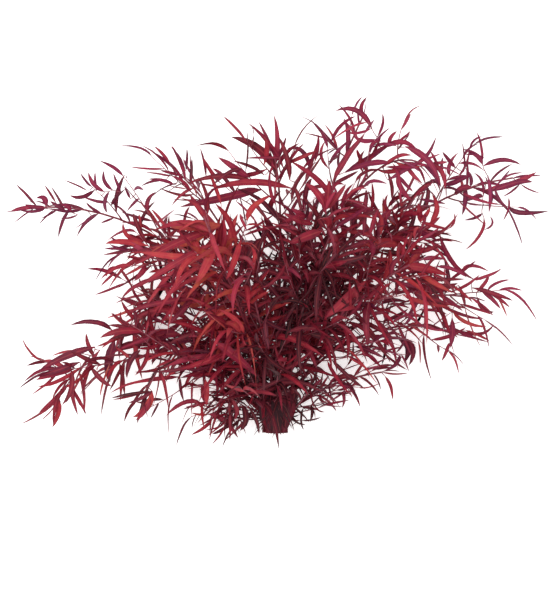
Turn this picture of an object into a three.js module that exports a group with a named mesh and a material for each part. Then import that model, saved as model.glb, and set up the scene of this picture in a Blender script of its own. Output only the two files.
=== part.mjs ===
// A bunch of dried narrow-leaved eucalyptus (Eucalyptus nicholii), dyed dark red, lying on a table.
// Twenty-one cut stems leave one neck and fan out. Each stem carries side shoots, and the shoots and
// the stem's leafy end carry narrow sickle-shaped leaves, with one more leaf at each end.
// Millimetres. +Z is up off the table, +Y runs from the cut ends to the leafy tips and +X is to the
// right. The stems are laid out from the middle of the cut ends, and the whole bunch is then moved
// so that the origin is on the table under the middle of its box.
import * as THREE from "three";

// Stems: six-sided, and packed like honeycomb where they are cut
const STEM_FLATS = 5.2; // across the flats of a cut stem
const STEM_GAP = 0.3; // air between two stems that lie side by side
const STEM_TIP_RADIUS = 1.2;
const STEM_SIDES = 6;
const STEM_STEPS = 9; // straight stretches of a stem past the neck
const NECK_LENGTH = 12; // the stretch in which the stems run side by side
const NECK_HEIGHT = 13.6; // of the middle of the neck over the table

// Side shoots. Ranges are shares of the plain value, or radians for a turn.
const SHOOT_RADIUS = 1;
const SHOOT_TIP_RADIUS = 0.7;
const SHOOT_STEPS = 3;
const SHOOT_ANGLE = 0.8; // between a shoot and its stem, in radians
const SHOOT_SWING = 0.28; // how far a shoot bends back along its stem, as a share of its length
const SHOOT_TAPER = 0.5; // how much shorter the last shoot is than the first
const SHOOT_RANGES = { turn: [-0.4, 0.4], length: [0.75, 1.25], angle: [0.75, 1.2] };
const GOLDEN_TURN = 2.4; // the turn round the stem from one shoot to the next

// Leaves. A blade has two edges and a midrib below them, and comes to a point.
const LEAF_SPACING = 6.7; // along what carries the leaves
const SHOOT_LEAVES = [0.04, 0.995]; // shares of a shoot where its leaves begin and end
const LEAF_ANGLE = [0.77, 0.56]; // between a leaf and its carrier, for the first leaf and the last
const END_LEAF = { angle: 0.12, size: 0.85 };
const LEAF_TAPER = { from: 0.6, size: 0.9 }; // leaves get smaller past this share of their carrier
const LEAF_RANGES = {
  length: [0.7, 1.25],
  width: [0.76, 1.24],
  angle: [0.5, 2],
  roll: [-1.2, 1.2],
  sickle: [-0.66, 0.66],
  arch: [-0.25, 0.35],
  twist: [-0.7, 0.7],
  hang: [0.2, 1.8],
  turn: [-0.8, 0.8],
};
const LEAF_STATIONS = [
  { at: 0.28, wide: 1 },
  { at: 0.7, wide: 0.82 },
];
const KEEL = 0.8; // depth of the midrib
const FOLD = 0.22; // rise of each edge over the midrib, as a share of the half width
// Those between the neck and a stem's first shoot
const LOW_LEAVES = { count: 7, angle: 1, size: 0.6, hang: 0.8 };
// Leaves rooted nearer to the cut ends than this reach are smaller, down to this share
const INNER_LEAVES = { reach: 150, size: 0.7 };

// What is solid: one leaf in every few, and the leaf at the end of each carrier
const LEAF_STEP = 5;
const ROOT_LENGTH = 0.9; // from the middle of a root to its far corner, along its carrier
const ROOT_WIDTH = 0.3; // from the middle of a root to its side, as a share of the face it is on
const ROOT_ROOM = 0.012; // least step from a shoot to a leaf on the same stem, as a share of it
const CEILING = { shoot: 208, leaf: 236 };
const LAID_FROM = 3; // a leaf that the table presses up by more than this lies flat on it

// Room kept between things. A shoot or a leaf that has too little is turned about its carrier.
const CLEARANCE = 0.5;
const CARRIER_ROOM = 0.6; // share of the plain room that is kept to the carrier near the root
const TURNS = 12;
const TURN_STEP = (5 * 2 * Math.PI) / TURNS;
const SHOOT_STOPS = [0.03, 0.15, 1 / 3, 2 / 3, 1];
const LEAF_STOPS = [0.03, 0.2, 0.28, 0.7, 1];
const LEAF_ROOM = [0.36, 0.5, 0.5, 0.42]; // radius of each stretch between stops, in leaf widths

const DRAW_FACTOR = 16807;
const DRAW_LIMIT = 2147483647;
const FIRST_SEED = 1000;
const SEED_STEP = 37;

// Each stem: its place in the neck by column and height, in pitches, how far it runs straight on,
// the place that it bends towards, its tip, its side shoots, its own leafy end, the length and
// width of its leaves, and how far they hang towards the cut end. Shares are of the stem's length.
const STEMS = [
  {
    name: "stem_far_left",
    slot: [-1, -0.5],
    straight: 110,
    bend: [-120, 316, 84],
    tip: [-318, 298, 74],
    shoots: { from: 0.12, to: 0.5, count: 6, length: 64 },
    aimed: [[0.78, -236, 324, 92], [0.66, -196, 338, 96], [0.7, -204, 236, 90]],
    leafy: 0.7,
    leaf: [42, 5.2],
    hang: 0.1,
  },
  {
    name: "stem_upper_left",
    slot: [0, 0],
    straight: 110,
    bend: [-50, 285, 95],
    tip: [-130, 346, 105],
    shoots: { from: 0.12, to: 0.82, count: 8, length: 62 },
    aimed: [[0.82, -158, 362, 110]],
    leafy: 0.87,
    leaf: [44, 4.4],
    hang: 0.15,
  },
  {
    name: "stem_top_left",
    slot: [0, 1],
    straight: 100,
    bend: [16, 280, 130],
    tip: [0, 356, 154],
    shoots: { from: 0.2, to: 0.9, count: 8, length: 74 },
    aimed: [[0.8, -58, 364, 170], [0.75, 50, 352, 150]],
    leafy: 0.84,
    leaf: [60, 6.4],
    hang: 0.2,
  },
  {
    name: "stem_top",
    slot: [0, -1],
    straight: 120,
    bend: [58, 300, 50],
    tip: [116, 420, 66],
    shoots: { from: 0.2, to: 0.88, count: 7, length: 72 },
    aimed: [[0.86, 62, 398, 80]],
    leafy: 0.74,
    leaf: [44, 4.8],
    hang: 0.15,
  },
  {
    name: "stem_top_right",
    slot: [1, 0.5],
    straight: 100,
    bend: [86, 396, 135],
    tip: [186, 352, 130],
    shoots: { from: 0.16, to: 0.88, count: 7, length: 62 },
    aimed: [[0.7, 130, 386, 124]],
    leafy: 0.75,
    leaf: [48, 5.2],
    hang: 0.25,
  },
  {
    name: "stem_far_right",
    slot: [1, -1.5],
    straight: 90,
    bend: [124, 314, 55],
    tip: [312, 338, 64],
    shoots: { from: 0.12, to: 0.86, count: 6, length: 60 },
    aimed: [[0.8, 258, 380, 80], [0.84, 318, 300, 60]],
    leafy: 0.74,
    leaf: [46, 5.2],
    hang: 0.2,
  },
  {
    name: "stem_right",
    slot: [2, 0],
    straight: 56,
    bend: [140, 212, 72],
    tip: [256, 180, 80],
    shoots: { from: 0.44, to: 0.92, count: 9, length: 72 },
    leafy: 0.8,
    leaf: [46, 5.2],
    hang: 0.3,
  },
  {
    name: "stem_right_lower",
    slot: [2, -1],
    straight: 50,
    bend: [112, 180, 40],
    tip: [240, 132, 26],
    shoots: { from: 0.46, to: 0.94, count: 7, length: 62 },
    leafy: 0.8,
    leaf: [42, 4.4],
    hang: 0.2,
  },
  {
    name: "stem_right_low",
    slot: [3, 0.5],
    straight: 20,
    bend: [58, 70, 36],
    tip: [142, 82, 30],
    shoots: { from: 0.14, to: 0.9, count: 10, length: 46 },
    leafy: 0.7,
    leaf: [40, 4.6],
    hang: 0.15,
  },
  {
    name: "stem_front_low",
    slot: [0, 2],
    straight: 40,
    bend: [-6, 110, 120],
    tip: [-36, 214, 160],
    shoots: { from: 0.16, to: 0.92, count: 10, length: 66 },
    leafy: 0.8,
    leaf: [48, 6],
    hang: 0.25,
  },
  {
    name: "stem_left_droop",
    slot: [-2, 1],
    straight: 36,
    bend: [-238, 188, 100],
    tip: [-290, 40, 45],
    shoots: { from: 0.1, to: 0.88, count: 8, length: 58 },
    aimed: [[0.42, -186, 146, 90], [0.62, -288, 86, 92], [0.55, -180, 48, 60]],
    leafy: 0.8,
    leaf: [54, 6.2],
    hang: 0.15,
  },
  {
    name: "stem_left_low",
    slot: [-2, -1],
    straight: 30,
    bend: [-90, 128, 34],
    tip: [-186, 122, 24],
    shoots: { from: 0.14, to: 0.9, count: 10, length: 60 },
    aimed: [[0.62, -168, 34, 20]],
    leafy: 0.7,
    leaf: [46, 5.2],
    hang: 0.25,
  },
  {
    name: "stem_left",
    slot: [-1, 0.5],
    straight: 70,
    bend: [-92, 232, 120],
    tip: [-170, 234, 95],
    shoots: { from: 0.1, to: 0.92, count: 14, length: 82 },
    leafy: 0.8,
    leaf: [54, 6.4],
    hang: 0.25,
  },
  {
    name: "stem_left_back",
    slot: [-1, -1.5],
    straight: 60,
    bend: [-108, 200, 30],
    tip: [-184, 166, 32],
    shoots: { from: 0.1, to: 0.92, count: 15, length: 82 },
    leafy: 0.8,
    leaf: [50, 5.6],
    hang: 0.15,
  },
  {
    name: "stem_bottom_left",
    slot: [-3, -0.5],
    straight: 12,
    bend: [-46, 86, 20],
    tip: [-66, 24, 30],
    shoots: { from: 0.12, to: 0.95, count: 9, length: 46 },
    aimed: [[0.7, -112, 22, 24]],
    leafy: 0.6,
    leaf: [40, 4.6],
    hang: 0.3,
  },
  {
    name: "stem_front_left",
    slot: [-1, 1.5],
    straight: 55,
    bend: [-44, 170, 185],
    tip: [-88, 282, 186],
    shoots: { from: 0.16, to: 0.92, count: 11, length: 84 },
    aimed: [[0.8, -34, 276, 205]],
    leafy: 0.8,
    leaf: [66, 8],
    hang: 0.3,
  },
  {
    name: "stem_front_right",
    slot: [1, 1.5],
    straight: 55,
    bend: [40, 204, 170],
    tip: [86, 296, 178],
    shoots: { from: 0.3, to: 0.92, count: 12, length: 88 },
    leafy: 0.8,
    leaf: [56, 6.8],
    hang: 0.3,
  },
  {
    name: "stem_right_front",
    slot: [2, 1],
    straight: 60,
    bend: [92, 192, 140],
    tip: [186, 230, 146],
    shoots: { from: 0.38, to: 0.94, count: 12, length: 78 },
    leafy: 0.8,
    leaf: [54, 6.2],
    hang: 0.3,
  },
  {
    name: "stem_back",
    slot: [0, -2],
    straight: 100,
    bend: [16, 210, 14],
    tip: [18, 284, 16],
    shoots: { from: 0.1, to: 0.92, count: 10, length: 76 },
    leafy: 0.8,
    leaf: [44, 4.6],
    hang: 0.0,
  },
  {
    name: "stem_right_middle",
    slot: [1, -0.5],
    straight: 64,
    bend: [88, 256, 80],
    tip: [172, 270, 104],
    shoots: { from: 0.26, to: 0.92, count: 15, length: 92 },
    leafy: 0.8,
    leaf: [52, 6],
    hang: 0.25,
  },
  {
    name: "stem_left_middle",
    slot: [-2, 0],
    straight: 60,
    bend: [-70, 200, 60],
    tip: [-146, 256, 66],
    shoots: { from: 0.14, to: 0.92, count: 12, length: 78 },
    leafy: 0.8,
    leaf: [50, 5.6],
    hang: 0.1,
  },
];
const PITCH = STEM_FLATS + STEM_GAP;
const STEM_RADIUS = STEM_FLATS / Math.sqrt(3);
const UP = new THREE.Vector3(0, 0, 1);
const STRAIGHT = new THREE.Vector3(0, 1, 0);
const FIRST_STATION = LEAF_STATIONS[0].at;

// Even draws from 0 to 1, the same each time for one seed
function seededDraw(seed) {
  let state = seed;
  return () => {
    state = (state * DRAW_FACTOR) % DRAW_LIMIT;
    return state / DRAW_LIMIT;
  };
}

function within(draw, [low, high]) {
  return low + (high - low) * draw();
}

// Square to a direction that is never upright: at no turn it is level and to the right
function radial(direction, turn) {
  const across = direction.clone().cross(UP).normalize();
  const up = across.clone().cross(direction).normalize();
  return across.multiplyScalar(Math.cos(turn)).addScaledVector(up, Math.sin(turn));
}

function middleOf(points) {
  const sum = points.reduce((total, point) => total.add(point), new THREE.Vector3());
  return sum.divideScalar(points.length);
}

// A point on a bowed line: it leaves its root along its aim and is pulled to one side by its bow.
// A leaf laid on the table comes down to it before the blade's first station.
function bowedPoint(line, at) {
  const point = line.root
    .clone()
    .addScaledVector(line.aim, line.length * at)
    .addScaledVector(line.bow, line.length * at * at)
    .addScaledVector(UP, line.lift * at);
  return line.laid ? point.setZ(line.root.z * Math.max(0, 1 - at / FIRST_STATION)) : point;
}

function bowedDirection(line, at) {
  const along = line.aim.clone().multiplyScalar(line.length);
  along.addScaledVector(line.bow, 2 * line.length * at);
  return along.addScaledVector(UP, line.lift).normalize();
}

// A place on the straight stretches between stations
function onStretches(stations, at) {
  const place = at * (stations.length - 1);
  const i = Math.min(Math.floor(place), stations.length - 2);
  return stations[i].clone().lerp(stations[i + 1], place - i);
}

// The closest that two straight stretches come
function stretchGap(from, to, otherFrom, otherTo) {
  const run = to.clone().sub(from);
  const otherRun = otherTo.clone().sub(otherFrom);
  const apart = from.clone().sub(otherFrom);
  const a = run.dot(run);
  const b = run.dot(otherRun);
  const c = otherRun.dot(otherRun);
  const d = run.dot(apart);
  const e = otherRun.dot(apart);
  const spread = a * c - b * b;
  const { clamp } = THREE.MathUtils;
  const first = spread > 1e-9 ? clamp((b * e - c * d) / spread, 0, 1) : 0;
  const otherShare = clamp((b * first + e) / c, 0, 1);
  const share = clamp((b * otherShare - d) / a, 0, 1);
  return apart.addScaledVector(run, share).addScaledVector(otherRun, -otherShare).length();
}

// What is placed so far: straight stretches, each with a radius and the limb that it is part of
const placed = [];

function keepPlace(limb) {
  limb.stops.slice(1).forEach((to, i) => {
    placed.push({ from: limb.stops[i], to, radius: limb.radii[i], limb });
  });
}

function isClear({ stops, radii }, carrier) {
  return stops.slice(1).every((to, i) =>
    placed.every((other) => {
      const isCarrier = other.limb === carrier;
      if (i === 0 && isCarrier) return true;
      const both = radii[i] + other.radius;
      const room = i === 1 && isCarrier ? CARRIER_ROOM * both : both + CLEARANCE;
      return stretchGap(stops[i], to, other.from, other.to) >= room;
    }),
  );
}

// Tries each turn and keeps the first limb that is clear of the rest, if there is one
function placeLimb(makeAt, carrier) {
  for (let i = 0; i < TURNS; i += 1) {
    const limb = makeAt(i * TURN_STEP);
    if (isClear(limb, carrier)) {
      limb.clear = true;
      keepPlace(limb);
      return limb;
    }
  }
  return { ...makeAt(0), clear: false };
}

function neckPlace([column, height]) {
  const x = column * PITCH * Math.cos(Math.PI / 6);
  return new THREE.Vector3(x, 0, NECK_HEIGHT + height * PITCH);
}

function growStem(plan, i) {
  const cut = neckPlace(plan.slot);
  const start = cut.clone().setY(NECK_LENGTH);
  const ahead = cut.clone().setY(NECK_LENGTH + plan.straight);
  const bend = new THREE.Vector3(...plan.bend);
  const curve = new THREE.CubicBezierCurve3(start, ahead, bend, new THREE.Vector3(...plan.tip));
  const stations = curve.getPoints(STEM_STEPS);
  const radii = stations.map((_, step) => {
    const left = 1 - step / STEM_STEPS;
    return STEM_TIP_RADIUS + (STEM_RADIUS - STEM_TIP_RADIUS) * left * left;
  });
  const stem = { plan, cut, curve, stations, radii, turn: i, clear: true, stops: [cut, ...stations] };
  stem.directionAt = (at) => curve.getTangent(at);
  stem.draw = seededDraw(FIRST_SEED + SEED_STEP * i);
  keepPlace(stem);
  return stem;
}

function growShoot(stem, at, length, aim, out) {
  const root = onStretches(stem.stations, at);
  const bow = stem.directionAt(at).multiplyScalar(SHOOT_SWING);
  const line = { root, aim, bow, length, lift: 0 };
  const height = bowedPoint(line, 1).z;
  line.lift = Math.max(0, SHOOT_RADIUS - height) - Math.max(0, height - CEILING.shoot);
  const stops = SHOOT_STOPS.map((stop) => bowedPoint(line, stop));
  const stations = Array.from({ length: SHOOT_STEPS + 1 }, (_, i) => bowedPoint(line, i / SHOOT_STEPS));
  const directionAt = (share) => bowedDirection(line, share);
  return { at, out, line, stations, directionAt, stops, radii: stops.map(() => SHOOT_RADIUS) };
}

// Shoots of one stem: first those that end at a given place, then those set round it in turn
function growShoots(stem) {
  const { aimed = [], shoots } = stem.plan;
  stem.shoots = aimed.map(([at, ...end]) => {
    const out = new THREE.Vector3(...end).sub(onStretches(stem.stations, at));
    const length = out.length();
    const aim = out.clone().divideScalar(length).addScaledVector(stem.directionAt(at), -SHOOT_SWING);
    return placeLimb(() => growShoot(stem, at, length, aim, out), stem);
  });
  for (let i = 0; i < shoots.count; i += 1) {
    const share = i / (shoots.count - 1);
    const at = shoots.from + (shoots.to - shoots.from) * share;
    const turn = stem.turn + i * GOLDEN_TURN + within(stem.draw, SHOOT_RANGES.turn);
    const length = shoots.length * (1 - SHOOT_TAPER * share) * within(stem.draw, SHOOT_RANGES.length);
    const angle = SHOOT_ANGLE * within(stem.draw, SHOOT_RANGES.angle);
    const direction = stem.directionAt(at);
    const makeAt = (extra) => {
      const out = radial(direction, turn + extra);
      const aim = direction.clone().multiplyScalar(Math.cos(angle)).addScaledVector(out, Math.sin(angle));
      return growShoot(stem, at, length, aim, out);
    };
    stem.shoots.push(placeLimb(makeAt, stem));
  }
}

// The two edges and the midrib of a blade at one place along it
function bladeRing(leaf, at, width) {
  const along = bowedDirection(leaf, at);
  const flat = leaf.across.clone().addScaledVector(along, -leaf.across.dot(along)).normalize();
  const across = flat.clone().multiplyScalar(Math.cos(leaf.twist * at));
  across.addScaledVector(along.clone().cross(flat), Math.sin(leaf.twist * at));
  const face = along.clone().cross(across);
  const half = width / 2;
  const middle = bowedPoint(leaf, at);
  const raised = middle.clone().addScaledVector(face, half * leaf.fold);
  return [
    raised.clone().addScaledVector(across, half),
    raised.clone().addScaledVector(across, -half),
    middle.clone().addScaledVector(face, -Math.min(KEEL, width)),
  ];
}

// Keeps a leaf over the table and below the bunch's top. One bent up far is laid flat instead.
function settle(leaf) {
  const stations = [...LEAF_STATIONS, { at: 1, wide: 0 }];
  const bends = stations.map(({ at, wide }) => {
    const heights = bladeRing(leaf, at, leaf.width * wide).map((corner) => corner.z);
    return { lift: -Math.min(...heights) / at, drop: (Math.max(...heights) - CEILING.leaf) / at };
  });
  leaf.lift = Math.max(0, ...bends.map(({ lift }) => lift)) - Math.max(0, ...bends.map(({ drop }) => drop));
  if (leaf.lift < LAID_FROM || leaf.root.z > FIRST_STATION * leaf.length) return;
  const sickle = leaf.bow.dot(leaf.across);
  leaf.aim.setZ(0).normalize();
  leaf.across = leaf.aim.clone().cross(UP);
  leaf.bow = leaf.across.clone().multiplyScalar(sickle);
  Object.assign(leaf, { laid: true, twist: 0, fold: 0, lift: 0 });
}

// Makes one leaf at any turn about its carrier. Its shape is drawn once, and is the same at each turn.
function leafMaker(carrier, at, shape, draw) {
  const root = onStretches(carrier.stations, at);
  const direction = carrier.directionAt(at);
  const drawn = Object.fromEntries(
    Object.entries(LEAF_RANGES).map(([name, range]) => [name, within(draw, range)]),
  );
  const inner = THREE.MathUtils.lerp(INNER_LEAVES.size, 1, Math.min(1, root.y / INNER_LEAVES.reach));
  const length = shape.length * drawn.length * inner;
  const width = shape.width * drawn.width * inner;
  const angle = shape.angle * drawn.angle;
  return (extra) => {
    const out = radial(direction, shape.turn + drawn.turn + extra);
    const aim = direction.clone().multiplyScalar(Math.cos(angle)).addScaledVector(out, Math.sin(angle));
    const level = UP.clone().cross(aim).normalize();
    const across = level.clone().multiplyScalar(Math.cos(drawn.roll));
    across.addScaledVector(aim.clone().cross(level), Math.sin(drawn.roll));
    const bow = across.clone().multiplyScalar(drawn.sickle);
    bow.addScaledVector(aim.clone().cross(across), drawn.arch);
    bow.y -= shape.hang * drawn.hang;
    const line = { root, aim, bow, length, width, across, twist: drawn.twist, fold: FOLD, lift: 0 };
    settle(line);
    const stops = LEAF_STOPS.map((stop) => bowedPoint(line, stop));
    return { at, out, line, stops, radii: LEAF_ROOM.map((share) => share * width) };
  };
}

// Leaves set alternately along a carrier, the last of them at its end unless they are low ones
function growLeaves(carrier, plan, run, draw) {
  const [length, width] = plan.leaf;
  return Array.from({ length: run.count }, (_, k) => {
    const i = k + 1;
    const along = i / run.count;
    const isEnd = i === run.count && !run.low;
    const taper = 1 - LEAF_TAPER.size * Math.max(0, along - LEAF_TAPER.from);
    const plainSize = run.low ? LOW_LEAVES.size : taper;
    const size = isEnd ? END_LEAF.size : plainSize;
    const plain = THREE.MathUtils.lerp(...LEAF_ANGLE, along) * (run.low ? LOW_LEAVES.angle : 1);
    const shape = {
      length: length * size,
      width: width * size,
      angle: isEnd ? END_LEAF.angle : plain,
      turn: run.turn + i * Math.PI,
      hang: run.low ? LOW_LEAVES.hang : plan.hang,
    };
    const at = run.from + (run.to - run.from) * along;
    const makeAt = leafMaker(carrier, at, shape, draw);
    const hasRoom = (carrier.shoots ?? []).every((other) => Math.abs(other.at - at) > ROOT_ROOM);
    const isTried = carrier.clear && hasRoom && (isEnd || (i + run.turn) % LEAF_STEP === 0);
    return { ...(isTried ? placeLimb(makeAt, carrier) : { ...makeAt(0), clear: false }), isEnd };
  });
}

function growAllLeaves(stem) {
  const { plan, draw } = stem;
  stem.shoots.forEach((shoot, turn) => {
    const [from, to] = SHOOT_LEAVES;
    const count = Math.round(shoot.line.length / LEAF_SPACING);
    shoot.leaves = growLeaves(shoot, plan, { from, to, count, turn }, draw);
  });
  const count = Math.round((stem.curve.getLength() * (1 - plan.leafy)) / LEAF_SPACING);
  const leafyEnd = { from: plan.leafy, to: SHOOT_LEAVES[1], count, turn: 0 };
  const low = { from: 0, to: plan.shoots.from, count: LOW_LEAVES.count, turn: 0, low: true };
  stem.leaves = [leafyEnd, low].flatMap((run) => growLeaves(stem, plan, run, draw));
}

// Skin of one node: corners and triangles that a stem shares with all that grows out of it
function addCorners(skin, points) {
  const first = skin.corners.length;
  skin.corners.push(...points);
  return points.map((_, i) => first + i);
}

function addTriangle(skin, a, b, c) {
  skin.faces.push({ corners: [a, b, c], limb: skin.limb });
}

// A flat face with openings in it, split into triangles
function addFace(skin, rim, openings, acrossFace, alongFace) {
  const rings = [rim, ...openings].map((ring) =>
    ring.map((i) => {
      const corner = skin.corners[i];
      return new THREE.Vector2(corner.dot(acrossFace), corner.dot(alongFace));
    }),
  );
  const order = [rim, ...openings].flat();
  const flat = rings.flat();
  for (const [a, b, c] of THREE.ShapeUtils.triangulateShape(rings[0], rings.slice(1))) {
    const turnsLeft = flat[b].clone().sub(flat[a]).cross(flat[c].clone().sub(flat[a])) > 0;
    addTriangle(skin, order[a], order[turnsLeft ? b : c], order[turnsLeft ? c : b]);
  }
}

// The opening in a face that a shoot or a leaf grows out of
function addOpening(skin, middle, across, along) {
  const near = middle.clone().addScaledVector(along, -0.5);
  const left = near.clone().sub(across);
  return addCorners(skin, [middle.clone().add(along), left, near.add(across)]);
}

// One stretch of a limb between two rings, with an opening for each sprout rooted in it
function addStretch(skin, ring, next, sprouts) {
  const cornersOf = (indices) => indices.map((i) => skin.corners[i]);
  const run = middleOf(cornersOf(next)).sub(middleOf(cornersOf(ring)));
  const margin = (2 * ROOT_LENGTH) / run.length();
  const alongFace = run.normalize();
  const sides = ring.map((corner, i) => {
    const rim = [corner, ring[(i + 1) % ring.length], next[(i + 1) % ring.length], next[i]];
    const [nearLeft, nearRight, farRight, farLeft] = cornersOf(rim);
    const acrossFace = nearRight.clone().sub(nearLeft).normalize();
    acrossFace.add(farRight.clone().sub(farLeft).normalize());
    acrossFace.addScaledVector(alongFace, -acrossFace.dot(alongFace)).normalize();
    return { rim, acrossFace, outward: acrossFace.clone().cross(alongFace), openings: [] };
  });
  for (const sprout of sprouts) {
    const facing = ({ outward }) => outward.dot(sprout.out);
    const side = sides.reduce((best, one) => (facing(one) > facing(best) ? one : best));
    const [nearLeft, nearRight, farRight, farLeft] = cornersOf(side.rim);
    const share = THREE.MathUtils.clamp(sprout.share, margin, 1 - margin);
    const left = nearLeft.clone().lerp(farLeft, share);
    const right = nearRight.clone().lerp(farRight, share);
    const across = right.clone().sub(left).multiplyScalar(ROOT_WIDTH);
    const along = alongFace.clone().multiplyScalar(ROOT_LENGTH);
    sprout.opening = addOpening(skin, middleOf([left, right]), across, along);
    side.openings.push(sprout.opening);
  }
  const middle = middleOf(cornersOf([...ring, ...next]));
  const bulge = (i, k) => middleOf(cornersOf([i, k])).distanceTo(middle);
  for (const { rim, openings, acrossFace } of sides) {
    const [a, b, c, d] = rim;
    if (openings.length) {
      addFace(skin, rim, openings, acrossFace, alongFace);
    } else if (bulge(b, d) > bulge(a, c)) {
      addTriangle(skin, a, b, d);
      addTriangle(skin, b, c, d);
    } else {
      addTriangle(skin, a, b, c);
      addTriangle(skin, a, c, d);
    }
  }
}

// The next ring of a blade, begun at the corner that follows the last ring with the least turn
function followRing(skin, ring, points) {
  const last = ring.map((i) => skin.corners[i]);
  const from = middleOf(last);
  const to = middleOf(points);
  const shifted = points.map((_, start) => points.map((_, i) => points[(i + start) % points.length]));
  const fit = (ordered) =>
    ordered.reduce((sum, point, i) => sum + point.clone().sub(to).dot(last[i].clone().sub(from)), 0);
  return addCorners(skin, shifted.reduce((best, one) => (fit(one) > fit(best) ? one : best)));
}

// The next ring of a shoot, turned as its last ring is
function carryRing(skin, ring, centre, direction, radius) {
  const last = ring.map((i) => skin.corners[i]);
  const middle = middleOf(last);
  const points = last.map((corner) => {
    const arm = corner.clone().sub(middle);
    arm.addScaledVector(direction, -arm.dot(direction)).normalize();
    return centre.clone().addScaledVector(arm, radius);
  });
  return addCorners(skin, points);
}

function addLeafSkin(skin, leaf, root) {
  skin.limb = leaf;
  let ring = root;
  for (const { at, wide } of LEAF_STATIONS) {
    const next = followRing(skin, ring, bladeRing(leaf.line, at, leaf.line.width * wide));
    addStretch(skin, ring, next, []);
    ring = next;
  }
  const [tip] = addCorners(skin, [bowedPoint(leaf.line, 1)]);
  ring.forEach((corner, i) => addTriangle(skin, corner, ring[(i + 1) % ring.length], tip));
}

function isRooted({ clear, isEnd }) {
  return clear && !isEnd;
}

function sproutsOn(sprouts, step, steps) {
  return sprouts
    .filter((sprout) => isRooted(sprout) && Math.floor(sprout.at * steps) === step)
    .map((sprout) => Object.assign(sprout, { share: sprout.at * steps - step }));
}

// Closes the end of a limb, or lets its last leaf grow on from it
function addEnd(skin, ring, leaves, direction) {
  const last = leaves.find(({ clear, isEnd }) => clear && isEnd);
  if (last && ring.length < STEM_SIDES) {
    addLeafSkin(skin, last, ring);
    return;
  }
  const corners = ring.map((i) => skin.corners[i]);
  const acrossFace = corners[1].clone().sub(corners[0]).normalize();
  const alongFace = direction.clone().cross(acrossFace);
  const half = STEM_TIP_RADIUS / 2;
  const across = acrossFace.clone().multiplyScalar(half);
  const along = alongFace.clone().multiplyScalar(half);
  const openings = last ? [addOpening(skin, middleOf(corners), across, along)] : [];
  addFace(skin, ring, openings, acrossFace, alongFace);
  if (last) addLeafSkin(skin, last, openings[0]);
}

function addShootSkin(skin, shoot) {
  skin.limb = shoot;
  let ring = shoot.opening;
  for (let step = 0; step < SHOOT_STEPS; step += 1) {
    const at = (step + 1) / SHOOT_STEPS;
    const radius = THREE.MathUtils.lerp(SHOOT_RADIUS, SHOOT_TIP_RADIUS, at);
    const next = carryRing(skin, ring, shoot.stations[step + 1], shoot.directionAt(at), radius);
    addStretch(skin, ring, next, sproutsOn(shoot.leaves, step, SHOOT_STEPS));
    ring = next;
  }
  addEnd(skin, ring, shoot.leaves, shoot.directionAt(1));
  shoot.leaves.filter(isRooted).forEach((leaf) => addLeafSkin(skin, leaf, leaf.opening));
}

function stemRing(centre, direction, radius) {
  return Array.from({ length: STEM_SIDES }, (_, i) => {
    const turn = (-2 * Math.PI * i) / STEM_SIDES;
    return centre.clone().addScaledVector(radial(direction, turn), radius);
  });
}

function leafyStemSkin(stem) {
  const skin = { corners: [], faces: [], limb: stem };
  const sprouts = [...stem.shoots, ...stem.leaves];
  const cutEnd = addCorners(skin, stemRing(stem.cut, STRAIGHT, STEM_RADIUS));
  addFace(skin, cutEnd, [], new THREE.Vector3(1, 0, 0), UP);
  let ring = addCorners(skin, stemRing(stem.stations[0], STRAIGHT, STEM_RADIUS));
  addStretch(skin, cutEnd, ring, []);
  for (let step = 0; step < STEM_STEPS; step += 1) {
    const direction = stem.directionAt((step + 1) / STEM_STEPS);
    const next = addCorners(skin, stemRing(stem.stations[step + 1], direction, stem.radii[step + 1]));
    addStretch(skin, ring, next, sproutsOn(sprouts, step, STEM_STEPS));
    ring = next;
  }
  addEnd(skin, ring, stem.leaves, stem.directionAt(1));
  stem.leaves.filter(isRooted).forEach((leaf) => addLeafSkin(skin, leaf, leaf.opening));
  stem.shoots.filter(isRooted).forEach((shoot) => addShootSkin(skin, shoot));
  return skin;
}

function edgeCrosses(from, to, [a, b, c]) {
  const ray = new THREE.Ray(from, to.clone().sub(from).normalize());
  const hit = ray.intersectTriangle(a, b, c, false, new THREE.Vector3());
  return hit !== null && hit.distanceTo(from) < to.distanceTo(from);
}

function facesCross(one, other) {
  return one.some((from, i) => {
    const k = (i + 1) % one.length;
    return edgeCrosses(from, one[k], other) || edgeCrosses(other[i], other[k], one);
  });
}

// Leaves and shoots that cross their own stem or what is on it
function crossingLimbs(skin) {
  const faces = skin.faces.map(({ corners, limb }) => {
    const points = corners.map((i) => skin.corners[i]);
    return { corners, limb, points, box: new THREE.Box3().setFromPoints(points) };
  });
  const crossing = new Set();
  faces.forEach((one, i) => {
    for (const other of faces.slice(i + 1)) {
      if (!one.box.intersectsBox(other.box)) continue;
      if (one.corners.some((corner) => other.corners.includes(corner))) continue;
      if (facesCross(one.points, other.points)) crossing.add(other.limb);
    }
  });
  return crossing;
}

// A stem with all that is solid on it. What crosses it is left out.
function leafyStemGeometry(stem) {
  let skin = leafyStemSkin(stem);
  for (let crossing = crossingLimbs(skin); crossing.size; crossing = crossingLimbs(skin)) {
    for (const limb of crossing) limb.clear = false;
    skin = leafyStemSkin(stem);
  }
  const geometry = new THREE.BufferGeometry().setFromPoints(skin.corners);
  geometry.setIndex(skin.faces.flatMap(({ corners }) => corners));
  geometry.computeVertexNormals();
  return geometry;
}

const bunch = STEMS.map(growStem);
bunch.forEach(growShoots);
bunch.forEach(growAllLeaves);

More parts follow.
